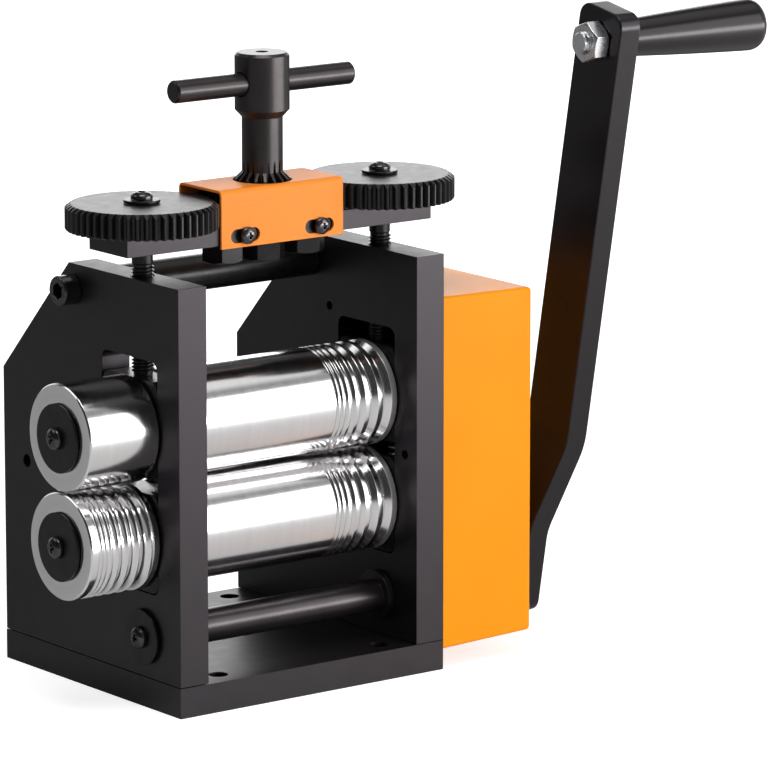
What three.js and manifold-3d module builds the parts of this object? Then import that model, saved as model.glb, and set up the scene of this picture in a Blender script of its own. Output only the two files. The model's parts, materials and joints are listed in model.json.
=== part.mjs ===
// Jewellers rolling mill: two 110 mm rollers between side plates, with a side roller on each left stub,
// a T-handle that winds both adjusting screws through spur gears, and a crank that drives the rollers.
// Millimetres. X runs along the rollers towards the crank, Y from front to back, Z up.
// The origin is the middle of the base plate's underside.

import * as THREE from "three";
import { mergeVertices } from "three/addons/utils/BufferGeometryUtils.js";
import Module from "manifold-3d";

// Fits
const clearance = 0.3; // between two pieces that touch or run in one another
const chordError = 0.3; // how far the sides of a round surface may lie inside its true circle
const through = 1; // how far a cutter runs past the face that it opens
const seam = 0.5; // how far two shapes that make one piece run into each other
const hair = 0.05; // keeps two surfaces of one shape from lying exactly on each other

// Base plate and side plates
const frameDepth = 132;
const baseThickness = 13;
const plateThickness = 14.5;
const plateTop = 183.5;
const plateTopDepth = 80.6; // the level top edge, from the front
const slopeFoot = 130.3; // where the sloping back corner meets the upright back edge
const benchHoleDiameter = 8.5;
const benchHoleSpacing = 85;
const benchHoleInset = 11;
const baseScrewFrontInset = 10;
const baseScrewBackInset = 21;
const baseScrewEngagement = 12;
const guideHole = { fromFront: 8.6, height: 95.8, diameter: 4.2, depth: 8 };
const rearHole = { fromFront: 114.4, height: 91.3, diameter: 5.5 };

// Bearing slots in the side plates
const slotWidth = 40.6;
const slotFloor = 50;
const slotTop = 150;
const slotCorner = 4;

// Tie bar
const tieBarDiameter = 15.8;
const tieBarFromFront = 77;
const tieBarDrop = 11.1; // its axis below the plates' top
const tieBarTapDepth = 14;

// Rollers
const rollerDiameter = 46;
const rollerFromFront = 36;
const lowerRollerHeight = 72.8;
const restGap = 0.5; // the nip as photographed, nearly shut
const journalDiameter = 25;
const stubDiameter = 16;
const stubFlats = 13;
const gearSeatDiameter = 20;
const gearSeatFlats = 17;
const wireGrooves = [7.2, 6.8, 5.2, 3.9, 2.9, 2.4, 2.3]; // widths of the square-wire grooves, right to left
const grooveEndLand = 3.2;

// Side rollers on the left stubs
const sideRollerLength = 35;
const sideRollerGap = 0.5; // to the side plate
const halfRoundGrooves = [6.7, 5.4, 5, 4.2, 2.5, 2.1, 2.1]; // widths, from the plate outwards
const sideGrooveEndLand = 3.3;
const roundGrooveDepth = 0.4; // as a share of the groove's width, like the next one
const roundGrooveSide = 0.28; // each sloping facet
const sideWasher = { diameter: 29.5, thickness: 1.4 };

// Bearing blocks and the springs between them
const blockAboveLower = 20; // lower block's top above its roller's axis, and the upper block's mirror of it
const upperBlockCap = 22; // upper block's top above its roller's axis
const blockCorner = 4.5;
const springOffset = 13;
const springPocketDepth = 5;
const springPocketDiameter = 9;
const springPlay = 0.2; // beyond the clearance to the pocket's wall
const springWire = 1.2;
const springCurls = 5;

// Adjusting train: one pinion, two idlers and two large gears in a row
const adjustModule = 1.2;
const largeTeeth = 52;
const idlerTeeth = 17;
const pinionTeeth = 18;
const adjustBacklash = 0.24;
const adjustGearThickness = 11;
const rimChamfer = { inwards: 2.4, down: 1.6 }; // on the upper ends of the large gears' teeth

// Bridge bar that carries the adjusting gears
const bridgeRise = 11.1; // its underside above the plates, as photographed
const bridgeThickness = 8.6;
const bridgeWidth = 28;
const bridgeOverhang = 10; // past each side plate

// Adjusting screws
const screwThreadDiameter = 9.4;
const screwNeckDiameter = 9;
const screwSeatDiameter = 8;
const screwSeatFlats = 6.4;
const screwThreadRise = 5; // thread that shows above the plates
const screwSpigotDiameter = 7;
const screwSpigotLength = 6;
const gearWasher = { diameter: 15.6, thickness: 1.2 };

// Pinion guard: an inverted channel of sheet on the bridge bar
const guardSheet = 1.2;
const guardLength = 63.8;
const guardShift = -0.7; // it sits a little left of centre, as its slots allow
const guardSkirt = 1.3; // how far it hangs below the bar
const guardHeadroom = 2.5; // from the gears to the underside of its top
const guardBend = 2.5;
const guardHoleDiameter = 25.2;
const guardSlotLength = 15;
const guardSlotHeight = 6;
const guardScrewSpacing = 38.8;
const guardScrewRise = 3.6; // above the bar's underside

// Pivot studs under the bar
const studFlats = 17;
const studHeadHeights = { left: 9.2, centre: 10.3, right: 9.2 };
const studShankDiameter = 8;
const studShort = 1; // from the shank's end to the gear's top face
const studTurns = { left: -7, centre: -19, right: -19 }; // degrees that each hexagon is turned

// T-handle
const spindleDiameter = 17.5;
const pinionTeethRise = 0.4; // above the guard, to where the tooth ends start to chamfer
const teeNeckLength = 26.5; // from there to the head's taper
const teeTaperLength = 3.2;
const teeHeadLength = 24.4; // above the taper
const teeHeadDiameter = 23.4;
const teeHeadChamfer = 1.2;
const teeBarDrop = 13.1; // the bar's axis below the head's top
const teeBarDiameter = 9.8;
const teeBarHole = 10.8;
const teeBarLength = 92.6;
const teeBarChamfer = 0.8;
const setScrewDiameter = 4.8;
const setScrewLength = 5;

// Roller gears and crank reduction, inside the gear cover
const rollerGearTeeth = 15;
const rollerGearBacklash = 0.62; // leaves room for the nip to close fully
const rollerGearWidth = 16;
const drivenTeeth = 31;
const crankTeeth = 12;
const reductionModule = 2;
const reductionBacklash = 0.3;
const reductionSpread = 0.2; // centre distance beyond the standard one
const drivenWidth = 12;
const drivenStep = 2; // between the two gears' tooth faces
const crankPinionWidth = 14;
const drivePressureAngle = 25;

// Crank shaft
const crankShaftDiameter = 14.6;
const crankShaftFlats = 11.5;
const crankShaftForward = 9.5; // its axis ahead of the rollers'
const crankCollarDiameter = 22;
const crankCollarWidth = 3;
const crankWasher = { diameter: 24, thickness: 1.4 };

// Gear cover
const coverReach = 49.6;
const coverSheet = 1.5;
const coverBelowCrank = 22; // from the crank shaft's axis to its lower edge
const coverTop = 164.3;
const coverDepth = 73;
const coverDraft = 1.2; // how far each side draws in towards the outer face
const coverFillet = 1.8;
const coverInnerFillet = 0.6; // at the least
const coverFilletDraw = 0.7; // how far in the outer edge rounds, as a share of the fillet
const coverPostDiameter = 9;
const topPost = { fromFront: 63.1, fromEdge: 10.2 };
const bottomPost = { fromFront: 9, fromEdge: 10.7 };

// Crank arm and grip
const crankLean = 10.6; // degrees towards the front, as photographed
const crankThrow = 244.9;
const armWidth = 28.9;
const armThickness = 10.9;
const armGap = 4.1; // from the gear cover to the arm
const armFootEnd = 16;
const armHeadEnd = 14.5;
const armCorner = 6.5;
const joggleStart = 19;
const joggleOffset = 15;
const joggleAngle = 21.5;
const joggleRadius = 28;
const gripLength = 76;
const gripSmallDiameter = 15.5;
const gripLargeDiameter = 22.9;
const gripBulge = 0.3; // how far its sides swell beyond a plain taper
const gripEndRadius = 4;
const gripRecess = { diameter: 17, depth: 7 };
const gripBoltDiameter = 10;
const gripBoltHead = { diameter: 15, height: 5 };
const gripNut = { flats: 16, height: 7.5 };
const gripBoltEnd = 2.5; // thread that shows past the nut
const gripBoltChamfer = 0.8;

// Screws: head diameter, head height, and the core diameter and length of the shank
const panScrew = { head: 9.4, height: 3.1, core: 4.2, length: 12 };
const guardScrew = { head: 7.4, height: 2.4, core: 3.2, length: 8 };
const capScrew = { head: 13, height: 8, core: 6.8 };
const baseScrew = { head: 10, height: 6, core: 5 };
const armScrew = { head: 10.5, height: 3, core: 5, length: 14 };
const headChamfer = 0.6;
const panCrown = [[1, 0.4], [0.7, 0.9], [0, 1]]; // a pan head's profile in shares of its radius and height

// Places worked out from the sizes above
const front = -frameDepth / 2;
const rollerY = front + rollerFromFront;
const bigToIdler = (adjustModule * (largeTeeth + idlerTeeth)) / 2;
const idlerToPinion = (adjustModule * (idlerTeeth + pinionTeeth)) / 2;
const screwX = bigToIdler + idlerToPinion;
const innerFace = screwX - plateThickness / 2;
const outerFace = screwX + plateThickness / 2;
const plateFoot = baseThickness + clearance;
const upperRollerHeight = lowerRollerHeight + rollerDiameter + restGap;
const rollerEnd = innerFace - clearance;
const journalEnd = outerFace + clearance;
const sideRollerInner = outerFace + sideRollerGap;
const sideRollerOuter = sideRollerInner + sideRollerLength;
const lowerBlockTop = lowerRollerHeight + blockAboveLower;
const upperBlockFoot = upperRollerHeight - blockAboveLower;
const upperBlockTop = upperRollerHeight + upperBlockCap;
const tieBarHeight = plateTop - tieBarDrop;
const screwThreadTop = plateTop + screwThreadRise;
const bridgeHeight = plateTop + bridgeRise;
const bridgeTop = bridgeHeight + bridgeThickness;
const gearFoot = bridgeTop + clearance;
const gearTop = gearFoot + adjustGearThickness;
const guardFoot = bridgeHeight - guardSkirt;
const guardTop = gearTop + guardHeadroom + guardSheet;
const guardScrewHeight = bridgeHeight + guardScrewRise;
const pinionTeethTop = guardTop + pinionTeethRise;
const teeTaperFoot = pinionTeethTop + teeNeckLength;
const teeTaperTop = teeTaperFoot + teeTaperLength;
const teeHeadTop = teeTaperTop + teeHeadLength;
const teeBarHeight = teeHeadTop - teeBarDrop;
const reductionDistance = (reductionModule * (drivenTeeth + crankTeeth)) / 2 + reductionSpread;
const crankY = rollerY - crankShaftForward;
const crankZ = lowerRollerHeight - Math.sqrt(reductionDistance ** 2 - crankShaftForward ** 2);
const coverInner = outerFace + clearance;
const coverOuter = coverInner + coverReach;
const coverFoot = crankZ - coverBelowCrank;
const coverPosts = {
  top: [topPost.fromFront, coverTop - topPost.fromEdge],
  bottom: [bottomPost.fromFront, coverFoot + bottomPost.fromEdge],
};
const rollerGearStart = journalEnd + clearance;
const drivenStart = rollerGearStart + rollerGearWidth + drivenStep;
const crankPinionStart = drivenStart - (crankPinionWidth - drivenWidth) / 2;
const armInner = coverOuter + armGap;
const armOuter = armInner + armThickness;

// Colours read from the photograph
const blackened = new THREE.MeshStandardMaterial({ color: 0x2b2a2d, roughness: 0.5, metalness: 0.7 });
const blackSteel = new THREE.MeshStandardMaterial({ color: 0x3a393c, roughness: 0.38, metalness: 0.85 });
const polishedSteel = new THREE.MeshStandardMaterial({ color: 0xd4d4d6, roughness: 0.12, metalness: 1 });
const groundSteel = new THREE.MeshStandardMaterial({ color: 0x77757a, roughness: 0.35, metalness: 0.9 });
const zinc = new THREE.MeshStandardMaterial({ color: 0xc9cacd, roughness: 0.3, metalness: 0.9 });
const springSteel = new THREE.MeshStandardMaterial({ color: 0x8c8d90, roughness: 0.3, metalness: 1 });
const orangePaint = new THREE.MeshStandardMaterial({ color: 0xffa21c, roughness: 0.3, metalness: 0 });
const blackGrip = new THREE.MeshStandardMaterial({ color: 0x262527, roughness: 0.42, metalness: 0 });

const wasm = await Module();
wasm.setup();

const mill = new THREE.Group();
const radians = THREE.MathUtils.degToRad;

// Local Z becomes the machine's X, local X its Y and local Y its Z
const acrossMill = new THREE.Quaternion().setFromRotationMatrix(
  new THREE.Matrix4().makeBasis(
    new THREE.Vector3(0, 1, 0),
    new THREE.Vector3(0, 0, 1),
    new THREE.Vector3(1, 0, 0),
  ),
);

function turnAbout(x, y, z, degrees) {
  return new THREE.Quaternion().setFromAxisAngle(new THREE.Vector3(x, y, z), radians(degrees));
}

function sidesOf(radius) {
  return Math.max(8, 2 * Math.ceil(Math.PI / Math.acos(1 - chordError / radius) / 2));
}

// A closed mesh with shared corners, no empty triangles and its faces turned outwards
function closed(geometry) {
  const bare = geometry.index ? geometry.toNonIndexed() : geometry.clone();
  bare.deleteAttribute("normal");
  bare.deleteAttribute("uv");
  const merged = mergeVertices(bare, 1e-4);
  const corners = merged.getIndex().array;
  const position = merged.getAttribute("position");
  const [a, b, c] = [new THREE.Vector3(), new THREE.Vector3(), new THREE.Vector3()];
  const kept = [];
  let volume = 0;
  for (let i = 0; i < corners.length; i += 3) {
    const [p, q, r] = [corners[i], corners[i + 1], corners[i + 2]];
    if (p === q || q === r || r === p) continue;
    kept.push(p, q, r);
    a.fromBufferAttribute(position, p);
    b.fromBufferAttribute(position, q);
    c.fromBufferAttribute(position, r);
    volume += a.dot(b.cross(c));
  }
  if (volume < 0) kept.reverse();
  merged.setIndex(kept);
  return merged;
}

function solid(geometry) {
  const mesh = closed(geometry);
  const vertProperties = Float32Array.from(mesh.getAttribute("position").array);
  const triVerts = Uint32Array.from(mesh.getIndex().array);
  return new wasm.Manifold(new wasm.Mesh({ numProp: 3, vertProperties, triVerts }));
}

function meshed(body) {
  const { vertProperties, triVerts } = body.getMesh();
  const geometry = new THREE.BufferGeometry();
  geometry.setAttribute("position", new THREE.BufferAttribute(Float32Array.from(vertProperties), 3));
  geometry.setIndex(Array.from(triVerts));
  return geometry;
}

function cut(geometry, ...tools) {
  return meshed(tools.reduce((body, tool) => body.subtract(solid(tool)), solid(geometry)));
}

function join(geometry, ...others) {
  return meshed(others.reduce((body, other) => body.add(solid(other)), solid(geometry)));
}

function overlap(geometry, other) {
  return meshed(solid(geometry).intersect(solid(other)));
}

// A profile of [radius, z] pairs turned about local Z
function turned(profile, sides = sidesOf(Math.max(...profile.map(([radius]) => radius)))) {
  const points = profile.map(([radius, z]) => new THREE.Vector2(radius, z));
  return closed(new THREE.LatheGeometry(points, sides).rotateX(Math.PI / 2));
}

function rod(diameter, length, z = 0) {
  const radius = diameter / 2;
  return turned([[0, z], [radius, z], [radius, z + length], [0, z + length]]);
}

// The cutter for a round hole: its sides touch the hole's true circle from outside
function drill(diameter, length, z = 0) {
  return rod(holeReach(diameter), length, z);
}

function holeReach(diameter) {
  return diameter / Math.cos(Math.PI / sidesOf(diameter / 2));
}

function extruded(shape, depth, z = 0) {
  const settings = { depth, bevelEnabled: false, curveSegments: 6 };
  return closed(new THREE.ExtrudeGeometry(shape, settings).translate(0, 0, z));
}

function polygon(points) {
  return new THREE.Shape(points.map(([x, y]) => new THREE.Vector2(x, y)));
}

function polar(radius, angle) {
  return new THREE.Vector2(radius * Math.cos(angle), radius * Math.sin(angle));
}

function circlePoints(radius, x = 0, y = 0, sides = sidesOf(radius), turn = 0) {
  return Array.from({ length: sides }, (_, i) => {
    const angle = turn + (2 * Math.PI * i) / sides;
    return new THREE.Vector2(x + radius * Math.cos(angle), y + radius * Math.sin(angle));
  });
}

function hole(diameter, x = 0, y = 0) {
  return new THREE.Path(circlePoints(holeReach(diameter) / 2, x, y, sidesOf(diameter / 2)));
}

function hexagon(flats, turn = 0) {
  return new THREE.Shape(circlePoints(flats / Math.sqrt(3), 0, 0, 6, turn));
}

// A rectangle with rounded corners, drawn with the same number of points at any size
function roundedPoints(left, right, bottom, top, radius, steps = 3) {
  const points = [];
  const corners = [[right, top, 0], [left, top, 1], [left, bottom, 2], [right, bottom, 3]];
  for (const [x, y, quarter] of corners) {
    const inX = x === right ? -radius : radius;
    const inY = y === top ? -radius : radius;
    for (let i = 0; i <= steps; i += 1) {
      const angle = (quarter + i / steps) * (Math.PI / 2);
      points.push([x + inX + radius * Math.cos(angle), y + inY + radius * Math.sin(angle)]);
    }
  }
  return points;
}

function roundedBlock(left, right, bottom, top, radius) {
  return polygon(roundedPoints(left, right, bottom, top, radius));
}

// A hole for a round shaft with two flats; the flats face local Y
function flattedHole(diameter, flats) {
  const steps = 3;
  const level = flats / 2 + clearance;
  const trueRadius = diameter / 2 + clearance;
  const radius = trueRadius / Math.cos(Math.asin(level / trueRadius) / steps);
  const reach = Math.asin(level / radius);
  const points = [];
  for (const side of [0, Math.PI]) {
    for (let i = 0; i <= steps; i += 1) {
      const angle = side + reach * ((2 * i) / steps - 1);
      points.push(polar(radius, angle));
    }
  }
  return new THREE.Shape(points);
}

// Walls between rings of equal point counts, with a flat cap on each end ring
function lofted(rings) {
  const count = rings[0].length;
  const corners = rings.flat();
  const faces = [];
  for (let ring = 0; ring + 1 < rings.length; ring += 1) {
    for (let i = 0; i < count; i += 1) {
      const a = ring * count + i;
      const b = ring * count + ((i + 1) % count);
      faces.push(a, b, b + count, a, b + count, a + count);
    }
  }
  const last = (rings.length - 1) * count;
  for (let i = 1; i + 1 < count; i += 1) faces.push(0, i + 1, i, last, last + i, last + i + 1);
  const geometry = new THREE.BufferGeometry();
  geometry.setAttribute("position", new THREE.Float32BufferAttribute(corners.flat(), 3));
  geometry.setIndex(faces);
  return closed(geometry);
}

function place(name, geometry, material, x, y, z, turn = null, parent = mill) {
  const mesh = new THREE.Mesh(closed(geometry), material);
  mesh.name = name;
  mesh.position.set(x, y, z);
  if (turn) mesh.quaternion.copy(turn);
  parent.add(mesh);
  return mesh;
}

// Gears

const involute = (angle) => Math.tan(angle) - angle;

// The outline of a spur gear with a tooth centred on local X, then turned by phase
function gearShape({ module, teeth, backlash, angle = 20, phase = 0 }) {
  const pitch = (module * teeth) / 2;
  const pressure = radians(angle);
  const base = pitch * Math.cos(pressure);
  const root = pitch - 1.25 * module;
  const tip = pitch + module;
  const halfTooth = (Math.PI * module - backlash) / (4 * pitch) + involute(pressure);
  const halfAngle = (radius) => halfTooth - involute(Math.acos(Math.min(1, base / radius)));
  const start = Math.max(root, base);
  const flank = [[root, halfAngle(start)], [tip, halfAngle(tip)]];
  if (root < base) flank.splice(1, 0, [base, halfAngle(base)]);
  const points = [];
  for (let tooth = 0; tooth < teeth; tooth += 1) {
    const centre = phase + (2 * Math.PI * tooth) / teeth;
    for (const [radius, half] of flank) points.push(polar(radius, centre - half));
    for (const [radius, half] of [...flank].reverse()) points.push(polar(radius, centre + half));
  }
  return new THREE.Shape(points);
}

// The phase that puts a gear in mesh with a driver whose own phase is known, along the line of centres
function meshPhase(driverPhase, driverTeeth, teeth, line) {
  return line + Math.PI - Math.PI / teeth - ((driverPhase - line) * driverTeeth) / teeth;
}

// Fasteners, each with its head above local z = 0 and its shank below

function tapRadius({ core }) {
  return holeReach(core + 2 * clearance) / 2;
}

function panHeadScrew({ head, height, core, length }) {
  const radius = head / 2;
  const crown = panCrown.map(([across, up]) => [across * radius, up * height]);
  return turned([[0, -length], [core / 2, -length], [core / 2, 0], [radius, 0], ...crown]);
}

function capHeadScrew({ head, height, core }, length) {
  return turned([
    [0, -length], [core / 2, -length], [core / 2, 0], [head / 2, 0],
    [head / 2, height - headChamfer], [head / 2 - headChamfer, height], [0, height],
  ]);
}

function washer({ diameter, thickness }) {
  const shape = new THREE.Shape(circlePoints(diameter / 2));
  shape.holes.push(hole(panScrew.core + 2 * clearance));
  return extruded(shape, thickness);
}

// Frame

function addBasePlate() {
  const half = outerFace;
  const shape = polygon([[-half, front], [half, front], [half, -front], [-half, -front]]);
  for (const side of [-1, 1]) {
    for (const end of [-1, 1]) {
      const holeY = end * (frameDepth / 2 - benchHoleInset);
      shape.holes.push(hole(benchHoleDiameter, (side * benchHoleSpacing) / 2, holeY));
    }
  }
  const headDepth = baseScrew.height + clearance;
  const bores = baseScrewPlaces().flatMap(([, x, y]) => [
    drill(baseScrew.core + 2 * clearance, baseThickness + 2 * through, -through).translate(x, y, 0),
    drill(baseScrew.head + 2 * clearance, headDepth + through, -through).translate(x, y, 0),
  ]);
  place("base_plate", cut(extruded(shape, baseThickness), ...bores), blackened, 0, 0, 0);
}

function baseScrewPlaces() {
  const places = [];
  for (const [side, x] of [["left", -screwX], ["right", screwX]]) {
    places.push([`base_screw_${side}_front`, x, front + baseScrewFrontInset]);
    places.push([`base_screw_${side}_back`, x, -front - baseScrewBackInset]);
  }
  return places;
}

function addBaseScrews() {
  const seat = baseScrew.height;
  const length = baseThickness - seat + baseScrewEngagement - clearance;
  const upwards = turnAbout(1, 0, 0, 180);
  for (const [name, x, y] of baseScrewPlaces()) {
    place(name, capHeadScrew(baseScrew, length), blackSteel, x, y, seat, upwards);
  }
}

// The plate in the machine's YZ plane, extruded along X from its left face
function sidePlate(side) {
  const slopeTop = front + plateTopDepth;
  const shape = polygon([
    [front, plateFoot], [-front, plateFoot], [-front, slopeFoot], [slopeTop, plateTop], [front, plateTop],
  ]);
  const half = slotWidth / 2;
  shape.holes.push(new THREE.Path(
    roundedPoints(rollerY - half, rollerY + half, slotFloor, slotTop, slotCorner)
      .map(([y, z]) => new THREE.Vector2(y, z)),
  ));
  shape.holes.push(hole(crankShaftDiameter + 2 * clearance, crankY, crankZ));
  shape.holes.push(hole(capScrew.core + 2 * clearance, front + tieBarFromFront, tieBarHeight));
  shape.holes.push(hole(rearHole.diameter, front + rearHole.fromFront, rearHole.height));
  const upright = new THREE.Matrix4().makeRotationX(-Math.PI / 2);
  const bore = (diameter, from, to, y) =>
    drill(diameter, to - from).applyMatrix4(upright).translate(y, from, plateThickness / 2);
  const tapDepth = baseScrewEngagement + clearance;
  const guideStart = side === "left" ? plateThickness - guideHole.depth : -through;
  const foot = plateFoot - through;
  const tools = [
    bore(screwThreadDiameter + 2 * clearance, slotTop - through, plateTop + through, rollerY),
    bore(baseScrew.core + 2 * clearance, foot, plateFoot + tapDepth, front + baseScrewFrontInset),
    bore(baseScrew.core + 2 * clearance, foot, plateFoot + tapDepth, -front - baseScrewBackInset),
    drill(guideHole.diameter, guideHole.depth + through)
      .translate(front + guideHole.fromFront, guideHole.height, guideStart),
  ];
  return cut(extruded(shape, plateThickness), ...tools);
}

// A post that is pressed into the right plate and takes one of the gear cover's screws
function coverPost([fromFront, height]) {
  const length = coverReach - coverSheet;
  const start = plateThickness - seam;
  const end = plateThickness + length;
  const bore = tapRadius(panScrew);
  const radius = coverPostDiameter / 2;
  const tap = end - panScrew.length - clearance;
  return turned([[0, start], [radius, start], [radius, end], [bore, end], [bore, tap], [0, tap]])
    .translate(front + fromFront, height, 0);
}

function addSidePlates() {
  place("left_side_plate", sidePlate("left"), blackened, -outerFace, 0, 0, acrossMill);
  const posts = Object.values(coverPosts).map(coverPost);
  place("right_side_plate", join(sidePlate("right"), ...posts), blackened, innerFace, 0, 0, acrossMill);
}

function addTieBar() {
  const y = front + tieBarFromFront;
  const half = innerFace - clearance;
  const bore = tapRadius(capScrew);
  const radius = tieBarDiameter / 2;
  const bar = turned([
    [0, tieBarTapDepth - half], [bore, tieBarTapDepth - half], [bore, -half], [radius, -half],
    [radius, half], [bore, half], [bore, half - tieBarTapDepth], [0, half - tieBarTapDepth],
  ]);
  place("tie_bar", bar, blackSteel, 0, y, tieBarHeight, acrossMill);
  const length = plateThickness + tieBarTapDepth - clearance;
  for (const [name, side] of [["tie_bar_screw_left", -1], ["tie_bar_screw_right", 1]]) {
    const outwards = turnAbout(0, 1, 0, 90 * side);
    const x = side * (outerFace + clearance);
    place(name, capHeadScrew(capScrew, length), blackSteel, x, y, tieBarHeight, outwards);
  }
}

function addLowerBlocks() {
  const foot = slotFloor + clearance;
  const half = slotWidth / 2 - clearance;
  const shape = roundedBlock(-half, half, foot - lowerRollerHeight, blockAboveLower, blockCorner);
  shape.holes.push(hole(journalDiameter + 2 * clearance));
  addBlocks("lower_bearing_block", shape, lowerRollerHeight, springPockets(blockAboveLower, -1));
}

// Pockets that open upwards (direction -1 from the block's top) or downwards from its foot
function springPockets(face, direction) {
  const upright = new THREE.Matrix4().makeRotationX(-Math.PI / 2);
  return [-springOffset, springOffset].map((offset) => {
    const from = direction < 0 ? face - springPocketDepth : face - through;
    const pocket = drill(springPocketDiameter, springPocketDepth + through);
    return pocket.applyMatrix4(upright).translate(offset, from, 0);
  });
}

function addBlocks(name, shape, height, tools) {
  const thickness = plateThickness - 2 * clearance;
  const block = cut(extruded(shape, thickness, -thickness / 2), ...tools);
  for (const [side, x] of [["left", -screwX], ["right", screwX]]) {
    place(`${name}_${side}`, block, blackSteel, x, rollerY, height, acrossMill);
  }
}

// A helical spring whose wire is cut level at both ends of its pockets
function springGeometry(length) {
  const steps = 8 * springCurls;
  const sides = 5;
  const wire = springWire / 2;
  const radius = springPocketDiameter / 2 - clearance - springPlay - wire;
  const rise = length - springWire;
  const slope = Math.atan2(rise / springCurls, 2 * Math.PI * radius);
  const rings = [];
  for (let i = 0; i <= steps; i += 1) {
    const angle = (2 * Math.PI * springCurls * i) / steps;
    const outwards = new THREE.Vector3(Math.cos(angle), Math.sin(angle), 0);
    const along = new THREE.Vector3(-Math.sin(angle), Math.cos(angle), 0)
      .multiplyScalar(Math.cos(slope)).setZ(Math.sin(slope));
    const across = new THREE.Vector3().crossVectors(along, outwards);
    const centre = outwards.clone().multiplyScalar(radius).setZ(wire + (rise * i) / steps);
    const ring = [];
    for (let k = 0; k < sides; k += 1) {
      const turn = (2 * Math.PI * k) / sides;
      const point = centre.clone()
        .addScaledVector(outwards, wire * Math.cos(turn))
        .addScaledVector(across, wire * Math.sin(turn));
      ring.push(point.toArray());
    }
    rings.push(ring);
  }
  console.log(`least gap between spring curls: ${leastCurlGap(rings, 8).toFixed(2)} mm`);
  return lofted(rings);
}

// The least distance between points of the wire that lie half a curl or more apart along it
function leastCurlGap(rings, stepsPerCurl) {
  let least = Infinity;
  const near = stepsPerCurl / 2;
  for (let i = 0; i < rings.length; i += 1) {
    for (let j = i + near; j < rings.length; j += 1) {
      for (const p of rings[i]) {
        for (const q of rings[j]) least = Math.min(least, Math.hypot(p[0] - q[0], p[1] - q[1], p[2] - q[2]));
      }
    }
  }
  return least;
}

function addSprings() {
  const foot = lowerBlockTop - springPocketDepth + clearance;
  const head = upperBlockFoot + springPocketDepth - clearance;
  const spring = springGeometry(head - foot);
  for (const [side, x] of [["left", -screwX], ["right", screwX]]) {
    place(`${side}_front_spring`, spring, springSteel, x, rollerY - springOffset, foot);
    place(`${side}_back_spring`, spring, springSteel, x, rollerY + springOffset, foot);
  }
}

// The cover's outer or inner skin, from its rim at the plate to its outer face
function coverSkin(inset, reach) {
  const left = front + clearance + inset;
  const right = front + clearance + coverDepth - inset;
  const fillet = Math.max(coverFillet - inset, coverInnerFillet);
  const endDraw = fillet * coverFilletDraw;
  const ring = (x, draw) => roundedPoints(
    left + draw, right - draw, coverFoot + inset + draw, coverTop - inset - draw, fillet,
  ).map(([y, z]) => [y, z, x]);
  const rings = [ring(0, 0)];
  for (let i = 0; i <= 2; i += 1) {
    const angle = (i * Math.PI) / 6;
    const draw = coverDraft + endDraw * (1 - Math.cos(angle));
    rings.push(ring(reach - fillet * (1 - Math.sin(angle)), draw));
  }
  rings.push(ring(reach, coverDraft + endDraw));
  return lofted(rings);
}

function addGearCover() {
  const shell = cut(
    coverSkin(0, coverReach),
    coverSkin(coverSheet, coverReach - coverSheet),
    coverSkin(coverSheet, 2 * through).translate(0, 0, -through),
  );
  const screwHoles = Object.values(coverPosts).map(([fromFront, height]) =>
    drill(panScrew.core + 2 * clearance, 3 * coverSheet, coverReach - 2 * coverSheet)
      .translate(front + fromFront, height, 0));
  const shaftHole = drill(crankShaftDiameter + 4 * clearance, 3 * coverSheet, coverReach - 2 * coverSheet)
    .translate(crankY, crankZ, 0);
  place("gear_cover", cut(shell, shaftHole, ...screwHoles), orangePaint, coverInner, 0, 0, acrossMill);
  for (const [name, [fromFront, height]] of Object.entries(coverPosts)) {
    const x = coverOuter + clearance;
    const y = front + fromFront;
    place(`gear_cover_screw_${name}`, panHeadScrew(panScrew), blackSteel, x, y, height, acrossMill);
  }
}

// Rollers

// Square-wire grooves: right-angled Vs with shared ridges, in a profile that runs towards larger z
function vGrooves(widths, end, radius) {
  const profile = [[radius, end]];
  let edge = end;
  for (const width of widths) {
    profile.unshift([radius, edge - width], [radius - width / 2, edge - width / 2]);
    edge -= width;
  }
  return profile;
}

// Half-round grooves of three facets each, with shared ridges
function roundGrooves(widths, end, radius) {
  const profile = [[radius, end]];
  let edge = end;
  for (const width of widths) {
    const bottom = radius - roundGrooveDepth * width;
    const slope = roundGrooveSide * width;
    profile.unshift([radius, edge - width], [bottom, edge - width + slope], [bottom, edge - slope]);
    edge -= width;
  }
  return profile;
}

// The grooved roller, its journals, its flatted left stub and its flatted gear seat, along local Z
function rollerBody(gearSeatEnd) {
  const radius = rollerDiameter / 2;
  const journal = journalDiameter / 2;
  const stub = stubDiameter / 2;
  const seat = gearSeatDiameter / 2;
  const bore = tapRadius(panScrew);
  const stubEnd = clearance - sideRollerOuter;
  const tap = stubEnd + panScrew.length + clearance;
  const barrel = turned([
    [0, -rollerEnd], [radius, -rollerEnd], ...vGrooves(wireGrooves, rollerEnd - grooveEndLand, radius),
    [radius, rollerEnd], [0, rollerEnd],
  ]);
  const axle = turned([
    [0, tap], [bore, tap], [bore, stubEnd], [stub, stubEnd], [stub, -journalEnd], [journal, -journalEnd],
    [journal, journalEnd], [seat, journalEnd], [seat, gearSeatEnd], [0, gearSeatEnd],
  ]);
  return cut(
    join(barrel, axle),
    ...flatCutters(stubDiameter, stubFlats, stubEnd - through, -journalEnd),
    ...flatCutters(gearSeatDiameter, gearSeatFlats, journalEnd, gearSeatEnd + through),
  );
}

// Two blocks that cut the parallel flats on a round end, which face local Y
function flatCutters(diameter, flats, from, to) {
  return [-1, 1].map((side) => {
    const block = new THREE.BoxGeometry(2 * diameter, diameter, to - from);
    return block.translate(0, (side * (flats + diameter)) / 2, (from + to) / 2);
  });
}

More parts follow.
